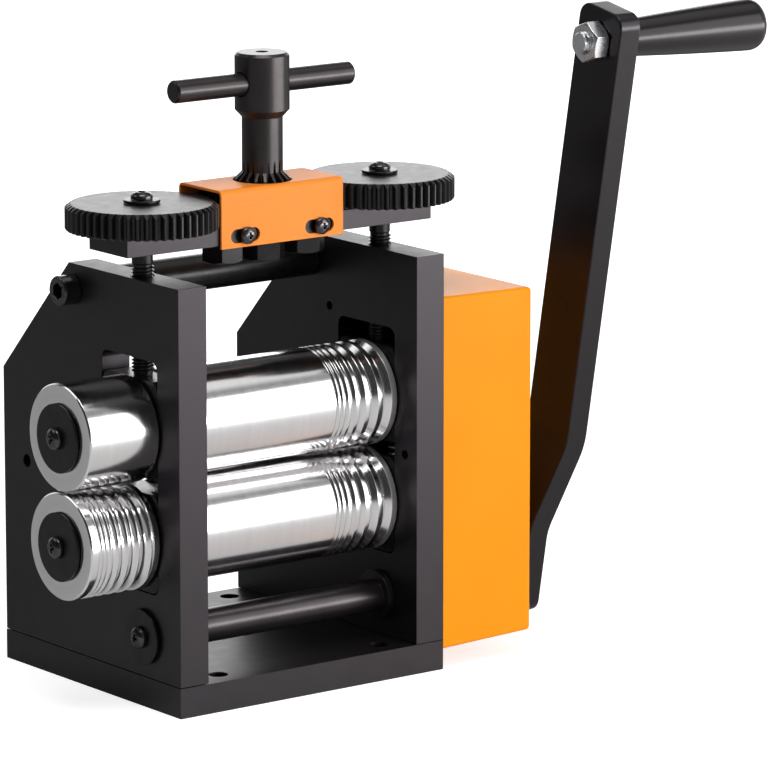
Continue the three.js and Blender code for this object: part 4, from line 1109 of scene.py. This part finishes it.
class MILL_OT_adjusting_gears(MillOperator, bpy.types.Operator):
    """Two large gears with chamfered rims, two idlers, and the large gears' washers and screws"""

    bl_idname = "mill.adjusting_gears"
    bl_label = "Adjusting gears"

    def gear(self, teeth, bore, phase, sizes, rim=None):
        gear = gear_blank(**ADJUST, teeth=teeth, bore=bore, depth=GEAR_TOP - GEAR_FOOT, phase=phase)
        if rim:
            combine(gear, rim, "INTERSECT")
        return softened(gear, sizes.small_bevel, segments=1)

    def rim(self):
        """The turned blank of the large gears, with a small chamfer below and a wide one on top."""
        thickness = GEAR_TOP - GEAR_FOOT
        tip = ADJUST["module"] * (LARGE_TEETH + 2) / 2
        foot, crown, crown_depth = 0.7 * MM, 2.4 * MM, 2 * MM
        return turned([
            (0, -PAST), (tip - foot, -PAST), (tip - foot, 0), (tip + 0.05 * MM, foot),
            (tip + 0.6 * MM, thickness - crown_depth), (tip - crown, thickness),
            (tip - crown, thickness + PAST), (0, thickness + PAST),
        ], 2 * LARGE_TEETH)

    def make(self, sizes):
        screw = pan_screw(M5_PAN)
        disc = washer(*GEAR_WASHER)
        for (side, x), line in zip(SIDES, (math.pi, 0)):
            idler_phase = mesh_phase(0, PINION_TEETH, IDLER_TEETH, line)
            idler = self.gear(IDLER_TEETH, PIVOT_BORE, idler_phase, sizes)
            centres = ADJUST["module"] * (IDLER_TEETH + PINION_TEETH) / 2
            shifted(idler, math.copysign(centres, x), ROLLER_Y, GEAR_FOOT)
            steel(idler, f"idler_{side}", f"{side}_idler", f"{side}_idler_gear", gear_steel())

            phase = mesh_phase(idler_phase, IDLER_TEETH, LARGE_TEETH, line)
            gear = self.gear(LARGE_TEETH, SPIGOT, phase, sizes, self.rim())
            shifted(gear, x, ROLLER_Y, GEAR_FOOT)
            unit, washer_node = f"{side}_screw_unit", f"{side}_gear_washer"
            steel(gear, f"large_gear_{side}", unit, f"{side}_adjusting_gear", gear_steel())
            copy = shifted(copied(disc), x, ROLLER_Y, low(washer_node).z)
            fitting(copy, f"gear_disc_{side}", unit, washer_node)
            turn = Matrix.Rotation(math.radians(25), 4, "Z")
            place = at(x, ROLLER_Y, high(washer_node).z + CLEARANCE) @ turn
            screwed_in(screw, place, f"gear_pan_{side}", unit, f"{side}_gear_screw")
        discard(screw, disc)


class MILL_OT_bridge(MillOperator, bpy.types.Operator):
    """Bridge bar with its three pivot studs"""

    bl_idname = "mill.bridge"
    bl_label = "Bridge bar"

    def stud(self, node, turn):
        start = low(node).z
        height = low("bridge_bar").z - CLEARANCE - start
        flats, pin = 17 * MM, 8 * MM
        head = prism(hexagon(flats, turn), height)
        land = flats / 2 - 0.3 * MM
        reach = flats / math.sqrt(3)
        wide = reach + 0.1 * MM
        dome = turned([
            (0, -PAST), (land, -PAST), (land, 0), (wide, 0.6 * (reach - land)),
            (wide, height + PAST), (0, height + PAST),
        ], 96)
        combine(head, dome, "INTERSECT")
        combine(head, rod(pin, high(node).z - start - PAST, PAST), "UNION")
        softened(head, sizes().small_bevel, segments=1)
        return shifted(head, middle(node).x, ROLLER_Y, start)

    def make(self, sizes):
        start, end = low("bridge_bar"), high("bridge_bar")
        outline = [(start.x, start.y), (end.x, start.y), (end.x, end.y), (start.x, end.y)]
        bar = prism(outline, end.z - start.z, start.z)
        depth = end.z - start.z + 2 * PAST
        idlers = middle("left_idler_stud").x, middle("right_idler_stud").x
        for x in (-SCREW_X, SCREW_X, 0, *idlers):
            cut(bar, shifted(rod(PIVOT_BORE, depth, start.z - PAST), x, ROLLER_Y))
        hole_depth = GUARD_SCREW_HOLE["depth"]
        for node in ("guard_screw_left", "guard_screw_right"):
            hole = rod(GUARD_SCREW_HOLE["diameter"], hole_depth + PAST, -hole_depth)
            cut(bar, moved(hole, at(middle(node).x, start.y, middle(node).z) @ FORWARDS))
        softened(bar, sizes.plate_bevel)
        finished(bar, "bridge", "carriage", "black_bar", black_plate(), "bridge_bar")
        for node, turn in (("left_idler_stud", -7), ("pinion_stud", -19), ("right_idler_stud", -19)):
            fitting(self.stud(node, turn), node.replace("stud", "pivot"), "carriage", node)


class MILL_OT_pinion_guard(MillOperator, bpy.types.Operator):
    """Folded orange guard over the pinion and idlers, with its two screws in slots"""

    bl_idname = "mill.pinion_guard"
    bl_label = "Pinion guard"

    def make(self, sizes):
        start, end = low("pinion_guard"), high("pinion_guard")
        sheet, bend = sizes.guard_sheet, sizes.guard_bend
        back, front, top, inside = end.y - bend, start.y + bend, end.z - bend, bend - sheet
        guard = prism([
            (end.y, start.z), *arc(back, top, bend, 0, 90, 8), *arc(front, top, bend, 90, 180, 8),
            (start.y, start.z), (start.y + sheet, start.z), *arc(front, top, inside, 180, 90, 8),
            *arc(back, top, inside, 90, 0, 8), (end.y - sheet, start.z),
        ], end.x - start.x)
        moved(guard, at(start.x) @ ACROSS)
        opening = 25.2 * MM
        cut(guard, shifted(rod(opening, 4 * sheet, end.z - 3 * sheet, 72), 0, ROLLER_Y))
        half, radius = 4.5 * MM, 3 * MM
        slot = arc(half, 0, radius, -90, 90, 12) + arc(-half, 0, radius, 90, 270, 12)
        middle_x = (start.x + end.x) / 2
        heads = high("guard_screw_right").x - low("guard_screw_left").x
        spacing = heads - M3_PAN[0] * MM
        screw_z = middle("guard_screw_left").z
        for sign in (-1, 1):
            place = at(middle_x + sign * spacing / 2, start.y, screw_z)
            cut(guard, moved(prism(slot, 4 * sheet, -2 * sheet), place @ FORWARDS))
        softened(guard, 0.18 * MM)
        finished(guard, "guard", "carriage", "orange_guard", guard_paint(), "pinion_guard")
        screw = pan_screw(M3_PAN)
        for side in ("left", "right"):
            node = f"guard_screw_{side}"
            place = at(middle(node).x, start.y - CLEARANCE, screw_z) @ FORWARDS
            screwed_in(screw, place, f"guard_pan_{side}", "carriage", node)
        discard(screw)


class MILL_OT_tee_handle(MillOperator, bpy.types.Operator):
    """T-handle: spindle with its pinion teeth, cross bar and set screw"""

    bl_idname = "mill.tee_handle"
    bl_label = "T-handle"

    def spindle(self, bar_z):
        foot, top = low("tee_spindle").z, high("tee_spindle").z
        tip = ADJUST["module"] * (PINION_TEETH + 2) / 2
        root = ADJUST["module"] * (PINION_TEETH - 2.5) / 2
        neck, head, chamfer = 8.75 * MM, 11.7 * MM, 1.2 * MM
        cross_hole, grub_hole = 10.8 * MM, 5.4 * MM
        outside = tip + 0.05 * MM
        teeth_top = high("pinion_guard").z + 0.4 * MM
        run_out = teeth_top + tip - neck
        taper_foot = teeth_top + 26.5 * MM
        taper_top = taper_foot + 3.2 * MM
        stem = turned([
            (0, foot), (outside, foot), (outside, teeth_top), (neck, run_out), (neck, taper_foot),
            (head, taper_top), (head, top - chamfer), (head - chamfer, top), (0, top),
        ], 96)
        teeth = gear_blank(**ADJUST, teeth=PINION_TEETH, bore=PIVOT_BORE, depth=run_out - foot, z=foot)
        combine(teeth, rod(2 * neck, run_out - foot + PAST, foot), "UNION")
        combine(teeth, rod(3 * head, top - run_out + 2 * PAST, run_out - 0.05 * MM), "UNION")
        combine(stem, teeth, "INTERSECT")
        cut(stem, rod(PIVOT_BORE, GEAR_TOP - foot + PAST, foot - PAST))
        cross = moved(rod(cross_hole, 3 * head, -1.5 * head), ACROSS)
        cut(stem, shifted(cross, 0, 0, bar_z), rod(grub_hole, top - bar_z + PAST, bar_z))
        self.cut_run_outs(stem, root, teeth_top)
        return shifted(softened(stem, 0.12 * MM, segments=1), 0, ROLLER_Y)

    def cut_run_outs(self, stem, root, teeth_top):
        """The hollow that the cutter leaves at the top of each tooth space."""
        cutter, shoulder, half_edge, half_width = 22 * MM, 19.3 * MM, 0.4 * MM, 1.3 * MM
        outwards, upwards = 20.4 * MM, 1.6 * MM
        place = at(root + outwards, 0, teeth_top + upwards) @ FORWARDS
        for tooth in range(PINION_TEETH):
            turn = Matrix.Rotation(2 * math.pi * (tooth + 0.5) / PINION_TEETH, 4, "Z")
            wheel = turned([
                (0, -half_width), (shoulder, -half_width), (cutter, -half_edge), (cutter, half_edge),
                (shoulder, half_width), (0, half_width),
            ], 48)
            cut(stem, moved(wheel, turn @ place))

    def make(self, sizes):
        bar = middle("tee_bar")
        steel(self.spindle(bar.z), "tee_stem", "tee_handle", "tee_spindle", handle_steel())

        start, end = low("tee_bar").x, high("tee_bar").x
        radius, chamfer = 4.9 * MM, 0.8 * MM
        rail = turned([
            (0, start), (radius - chamfer, start), (radius, start + chamfer),
            (radius, end - chamfer), (radius - chamfer, end), (0, end),
        ], 64)
        softened(rail, 0.15 * MM)
        moved(rail, at(0, bar.y, bar.z) @ ACROSS)
        steel(rail, "tee_rail", "tee_handle", "tee_bar", handle_steel())

        start, end = low("tee_set_screw").z, high("tee_set_screw").z
        socket, depth = 2.5 * MM, 2.5 * MM
        grub = rod(M5_HOLE, end - start, start, 40)
        cut(grub, prism(hexagon(socket), depth + PAST, end - depth))
        softened(grub, 0.15 * MM)
        shifted(grub, 0, ROLLER_Y)
        finished(grub, "tee_grub", "tee_handle", "black_fittings", screw_black(), "tee_set_screw")


class MILL_OT_gear_cover(MillOperator, bpy.types.Operator):
    """Orange gear cover: a drawn box with rounded edges, open towards the plate"""

    bl_idname = "mill.gear_cover"
    bl_label = "Gear cover"

    def make(self, sizes):
        start, end = low("gear_cover"), high("gear_cover")
        span = end - start
        draft = 2 * sizes.cover_draft
        cover = brick(span, (start + end) / 2)
        pick_faces(cover, lambda normal: normal.x > 0.5)
        bpy.ops.transform.resize(value=(1, 1 - draft / span.y, 1 - draft / span.z))
        pick_faces(cover, lambda normal: normal.x < -0.9)
        bpy.ops.mesh.delete(type="FACE")
        leave_edit()
        apply_modifier(
            cover, "BEVEL", width=sizes.cover_fillet, segments=6, limit_method="ANGLE",
            angle_limit=math.radians(60),
        )
        apply_modifier(cover, "SOLIDIFY", thickness=sizes.cover_sheet, offset=-1, use_even_offset=True)
        screws = [(end_name, middle(f"gear_cover_screw_{end_name}")) for end_name in ("top", "bottom")]
        reach = 4 * sizes.cover_sheet
        shaft_opening = 16.2 * MM
        openings = [(shaft_opening, CRANK_AXIS)] + [(M5_HOLE, place) for end_name, place in screws]
        for diameter, place in openings:
            cut(cover, moved(rod(diameter, reach, end.x - reach / 2), at(0, place.y, place.z) @ ACROSS))
        softened(cover, 0.2 * MM, angle=50)
        finished(cover, "cover", "frame", "orange_cover", cover_paint(), "gear_cover")
        screw = pan_screw(M5_PAN)
        for end_name, place in screws:
            seat = at(end.x + CLEARANCE, place.y, place.z) @ ACROSS
            screwed_in(screw, seat, f"cover_pan_{end_name}", "frame", f"gear_cover_screw_{end_name}")
        discard(screw)


class MILL_OT_drive_gears(MillOperator, bpy.types.Operator):
    """Steel for the roller gears and the crank pinion inside the cover"""

    bl_idname = "mill.drive_gears"
    bl_label = "Drive gears"

    def make(self, sizes):
        for node in ("lower_gear_cluster", "upper_roller_gear", "crank_pinion"):
            mesh = frame["nodes"][node].data
            mesh.materials.clear()
            mesh.materials.append(gear_steel())


class MILL_OT_crank(MillOperator, bpy.types.Operator):
    """Crank shaft with its collar, the joggled arm, and the screws at both ends"""

    bl_idname = "mill.crank"
    bl_label = "Crank"

    def middle_line(self):
        """Points along the bent arm: how far up it, how far out, and its slope there."""
        bend, radius, offset = math.radians(JOGGLE["angle"]), JOGGLE["radius"], JOGGLE["offset"]
        straight = (offset - 2 * radius * (1 - math.cos(bend))) / math.sin(bend)
        end_run = JOGGLE["start"] + 2 * radius * math.sin(bend) + straight * math.cos(bend)
        steps = 12
        angles = [bend * i / steps for i in range(steps + 1)]
        arcs = [(radius * math.sin(angle), radius * (1 - math.cos(angle)), angle) for angle in angles]
        return [
            (-ARM["foot"], 0, 0),
            *[(JOGGLE["start"] + along, out, angle) for along, out, angle in arcs],
            *[(end_run - along, offset - out, angle) for along, out, angle in reversed(arcs)],
            (THROW + ARM["head"], offset, 0),
        ]

    def arm(self):
        thickness, width = ARM["thickness"], ARM["width"]
        shaft_bore, bolt_bore = 15.2 * MM, 10.6 * MM
        half = thickness / 2

        def side(sign):
            return [
                (half + out + sign * half * math.cos(angle), along - sign * half * math.sin(angle))
                for along, out, angle in self.middle_line()
            ]

        bent = prism(side(-1) + side(1)[::-1], width + 2 * PAST, -width / 2 - PAST)
        moved(bent, FORWARDS)
        top = THROW + ARM["head"]
        outline = rounded_rectangle(-width / 2, width / 2, -ARM["foot"], top, ARM["corner"], 10)
        flat = moved(prism(outline, JOGGLE["offset"] + 3 * thickness, -thickness), ACROSS)
        combine(bent, flat, "INTERSECT")
        cut(bent, moved(rod(shaft_bore, 3 * thickness, -thickness), ACROSS))
        cut(bent, moved(rod(bolt_bore, 4 * thickness), at(0, 0, THROW) @ ACROSS))
        return softened(bent, 0.7 * MM, segments=3, angle=40)

    def make(self, sizes):
        left, right = low("crank_shaft").x, high("crank_shaft").x
        radius, collar = 7.3 * MM, 11 * MM
        collar_end = INNER_FACE - CLEARANCE
        collar_start = collar_end - 3 * MM
        shaft = turned([
            (0, left), (radius, left), (radius, collar_start), (collar, collar_start),
            (collar, collar_end), (radius, collar_end), (radius, right), (0, right),
        ], 96)
        softened(shaft, 0.3 * MM)
        moved(shaft, CRANK_TURN @ ACROSS)
        steel(shaft, "drive_shaft", "crank", "crank_shaft", handle_steel())

        start = low("crank_arm").x
        arm = moved(self.arm(), CRANK_TURN @ at(start))
        finished(arm, "arm", "crank", "black_arm", black_arm(), "crank_arm")
        screw = pan_screw(ARM_PAN)
        face = at(start + ARM["thickness"] + CLEARANCE)
        screwed_in(screw, CRANK_TURN @ face @ ACROSS, "arm_pan", "crank", "crank_arm_screw")
        discard(screw)
        disc = washer(*SHAFT_WASHER)
        moved(disc, CRANK_TURN @ at(high("crank_end_washer").x) @ LEFTWARDS)
        fitting(disc, "shaft_disc", "crank", "crank_end_washer")
        screw = pan_screw(M5_PAN)
        face = at(low("crank_end_washer").x - CLEARANCE)
        screwed_in(screw, CRANK_TURN @ face @ LEFTWARDS, "shaft_pan", "crank", "crank_end_screw")
        discard(screw)


class MILL_OT_grip(MillOperator, bpy.types.Operator):
    """Turned grip that runs on its bolt, with the nut behind the arm"""

    bl_idname = "mill.grip"
    bl_label = "Grip"

    def grip(self, reach, floor):
        """The swelling handle, bored for the bolt and hollow at its end for the bolt's head."""
        small, large, bore, recess = 7.75 * MM, 11.45 * MM, 5.3 * MM, 8.5 * MM
        swell_end = reach - 4 * MM
        bulge = 0.3  # how far the outline stands out from a straight cone
        steps = 24
        swell = [
            (small + (large - small) * share * (1 + bulge * (1 - share)), swell_end * share)
            for share in (i / steps for i in range(steps + 1))
        ]
        rim = (large + recess) / 2
        rounding = [
            (rim + (large - rim) * x, swell_end + (reach - swell_end) * y)
            for x, y in arc(0, 0, 1, 0, 90, 10)[1:]
        ]
        hollow = [(recess, reach), (recess, floor), (bore, floor)]
        return softened(turned([(bore, 0), *swell, *rounding, *hollow, (bore, 0)], 96), 0.3 * MM, angle=50)

    def bolt(self, tail, head_foot, pitch):
        core, shank, head, chamfer = 4.05 * MM, 5 * MM, 7.5 * MM, 0.6 * MM
        crest, socket, depth = 9.8 * MM, 6 * MM, 3 * MM
        thread_end = tail + 12 * MM
        top = head_foot + 5 * MM
        bolt = turned([
            (0, tail), (core, tail), (core + 0.05 * MM, thread_end), (shank, thread_end + MM),
            (shank, head_foot), (head, head_foot), (head, top - chamfer), (head - chamfer, top), (0, top),
        ], 64)
        cut(bolt, prism(hexagon(socket), depth + PAST, top - depth))
        combine(bolt, threaded(crest, pitch, tail + 0.2 * MM, thread_end), "UNION")
        return softened(bolt, 0, smooth=30)

    def nut(self, height):
        flats = 16 * MM
        nut = prism(hexagon(flats, 90), height)
        reach = flats / math.sqrt(3)
        land = flats / 2 - 0.4 * MM
        slope = 0.55 * (reach - land)
        wide = reach + 0.1 * MM
        barrel = turned([
            (0, -PAST), (land, -PAST), (land, 0), (wide, slope), (wide, height - slope),
            (land, height), (land, height + PAST), (0, height + PAST),
        ], 96)
        combine(nut, barrel, "INTERSECT")
        cut(nut, rod(SCREW_HOLE, height + 2 * PAST, -PAST))
        return softened(nut, 0.15 * MM, segments=1)

    def make(self, sizes):
        at_head = CRANK_TURN @ at(0, 0, THROW)
        start, end = low("crank_grip").x, high("crank_grip").x
        recess_depth = 7 * MM
        floor = end - start - recess_depth
        grip = moved(self.grip(end - start, floor), at_head @ at(start) @ ACROSS)
        finished(grip, "grip_handle", "grip", "black_grip", grip_plastic(), "crank_grip")
        bolt = self.bolt(low("grip_bolt").x, start + floor + CLEARANCE, sizes.thread_pitch)
        moved(bolt, at_head @ ACROSS)
        finished(bolt, "grip_bolt_plated", "crank", "zinc_plate", zinc_plate(), "grip_bolt")
        left, right = low("grip_nut").x, high("grip_nut").x
        nut = moved(self.nut(right - left), at_head @ at(left) @ ACROSS)
        finished(nut, "grip_nut_plated", "crank", "zinc_plate", zinc_plate(), "grip_nut")


# Lamps: name, place, the point that it is turned to, and its width and height, in metres
MILL_MIDDLE = (0, 0, 0.13)
UPPER_HALF = (0, 0, 0.2)
LAMPS = (
    ("low", (0.98, -1.29, 0.22), UPPER_HALF, (1.5, 0.36)),
    ("tall", (0.95, -1.15, 0.75), MILL_MIDDLE, (0.8, 0.85)),
    ("top", (-0.2, -0.4, 1.8), MILL_MIDDLE, (1.0, 0.8)),
    ("back", (1.25, 1.6, 0.62), UPPER_HALF, (1.4, 0.8)),
    ("rear", (-1.2, 0.9, 1.5), MILL_MIDDLE, (1.2, 0.9)),
)


def grey(level):
    return (level, level, level, 1)


def turned_to(direction):
    """The rotation of a lamp or camera that looks in a direction."""
    return Vector(direction).to_track_quat("-Z", "Y").to_euler()


class MILL_OT_stage(MillOperator, bpy.types.Operator):
    """Pale floor, white surroundings, soft lamps and the camera"""

    bl_idname = "mill.stage"
    bl_label = "Stage"

    def lamp(self, name, place, aim, size, power):
        clear_selection()
        bpy.ops.object.light_add(type="AREA", location=place)
        lamp = bpy.context.view_layer.objects.active
        lamp.name = name
        lamp.data.shape = "RECTANGLE"
        lamp.data.size, lamp.data.size_y = size
        lamp.data.energy = power
        lamp.rotation_euler = turned_to(Vector(aim) - Vector(place))

    def floor(self):
        """Pale all over for the camera. Polished metal sees painted shade on the left and behind the mill,
        and a painted glow on the far front right.
        """
        clear_selection()
        bpy.ops.mesh.primitive_plane_add(size=40, location=(0, 0, 0))
        floor = bpy.context.view_layer.objects.active
        floor.name = "studio_floor"
        finish = Finish("pale floor", roughness=0.9, specular_ior_level=0.0)
        x, y, z = finish.axes()
        far = (x * x + y * y).ramp(0.04, 0.8)
        right = x.ramp(-0.3, 0.05)
        back = y.ramp(-0.1, 0.2)
        glossy = finish.ray("Glossy")
        # Painted shade: reflections see the floor behind the mill painted darker, 0.5 on the left and 0.25 on
        # the right.
        behind = finish.mix(right, grey(0.5), grey(0.25))
        finish.paint(finish.mix(glossy * back, grey(0.8), behind))
        # Painted glow: reflections see the far floor at the front right glow, though no lamp stands there.
        mirrored = finish.mix(glossy * far * right * (1 - back), grey(0), (0.52, 0.5, 0.48, 1))
        seen = finish.ray("Camera").either(finish.ray("Transmission"))
        glow = finish.mix(seen, mirrored, finish.mix(far, grey(0.7), grey(1)))
        finish.feed(finish.shader.inputs["Emission Color"], glow)
        finish.shader.inputs["Emission Strength"].default_value = 1
        floor.data.materials.append(finish.material)

    def world(self, fill):
        """White behind the mill, and a dimmer room on the left and behind the camera."""
        world = bpy.data.worlds.new("studio")
        bpy.context.scene.world = world
        sky = Shading(world, "BACKGROUND")
        x, y, z = sky.axes("Generated")
        right = x.ramp(0.0, 0.4)
        front = (0.6 * x - 0.8 * y).ramp(0.1, 0.5)
        backdrop = (0.8 * x + 0.6 * y).ramp(0.1, 0.6) * (1 - z.ramp(0.35, 0.6))
        overhead = 0.85 * right * z.ramp(0.73, 0.78)
        glossy = sky.ray("Glossy").either(sky.ray("Transmission"))
        room = sky.mix(front, grey(0.04), grey(0.32))
        seen = sky.mix(backdrop.either(overhead), room, grey(1))
        light = sky.mix(glossy, grey(fill), seen)
        sky.feed(sky.shader.inputs["Color"], sky.mix(sky.ray("Camera"), light, grey(1)))

    def make(self, sizes):
        scene = bpy.context.scene
        stage = scene.mill_stage
        self.floor()
        self.world(stage.fill)
        for name, place, aim, size in LAMPS:
            self.lamp(f"{name}_lamp", place, aim, size, getattr(stage, f"{name}_power"))
        clear_selection()
        bpy.ops.object.camera_add(location=stage.camera_place)
        camera = bpy.context.view_layer.objects.active
        camera.name = "photo_camera"
        camera.rotation_euler = turned_to(stage.camera_aim)
        camera.data.lens = stage.lens
        camera.data.sensor_width = 36
        camera.data.clip_end = 100
        scene.camera = camera
        scene.view_settings.view_transform = "Standard"


class MILL_PT_panel(bpy.types.Panel):
    """Lists the mill's pieces"""

    bl_idname = "MILL_PT_panel"
    bl_label = "Rolling Mill"
    bl_space_type = "VIEW_3D"
    bl_region_type = "UI"
    bl_category = "Rolling Mill"

    def draw(self, context):
        for operator in OPERATORS:
            self.layout.operator(operator.bl_idname)
        for name in SETTINGS:
            group = getattr(context.scene, name)
            for setting in group.__annotations__:
                self.layout.prop(group, setting)


SETTINGS = {"mill_sizes": MillSizes, "mill_finishes": MillFinishes, "mill_stage": MillStage}
OPERATORS = (
    MILL_OT_base,
    MILL_OT_side_plates,
    MILL_OT_tie_bar,
    MILL_OT_bearing_blocks,
    MILL_OT_springs,
    MILL_OT_rollers,
    MILL_OT_side_rollers,
    MILL_OT_adjusting_screws,
    MILL_OT_adjusting_gears,
    MILL_OT_bridge,
    MILL_OT_pinion_guard,
    MILL_OT_tee_handle,
    MILL_OT_gear_cover,
    MILL_OT_drive_gears,
    MILL_OT_crank,
    MILL_OT_grip,
    MILL_OT_stage,
)


def register():
    for item in (*SETTINGS.values(), *OPERATORS, MILL_PT_panel):
        bpy.utils.register_class(item)
    for name, group in SETTINGS.items():
        setattr(bpy.types.Scene, name, bpy.props.PointerProperty(type=group))


def unregister():
    for name in SETTINGS:
        delattr(bpy.types.Scene, name)
    for item in (MILL_PT_panel, *reversed(OPERATORS), *reversed(SETTINGS.values())):
        bpy.utils.unregister_class(item)


def build_mill():
    """Makes the mill piece by piece."""
    register()
    for operator in OPERATORS:
        getattr(bpy.ops.mill, operator.bl_idname.split(".")[1])()
    clear_selection()


if __name__ == "__main__":
    build_mill()
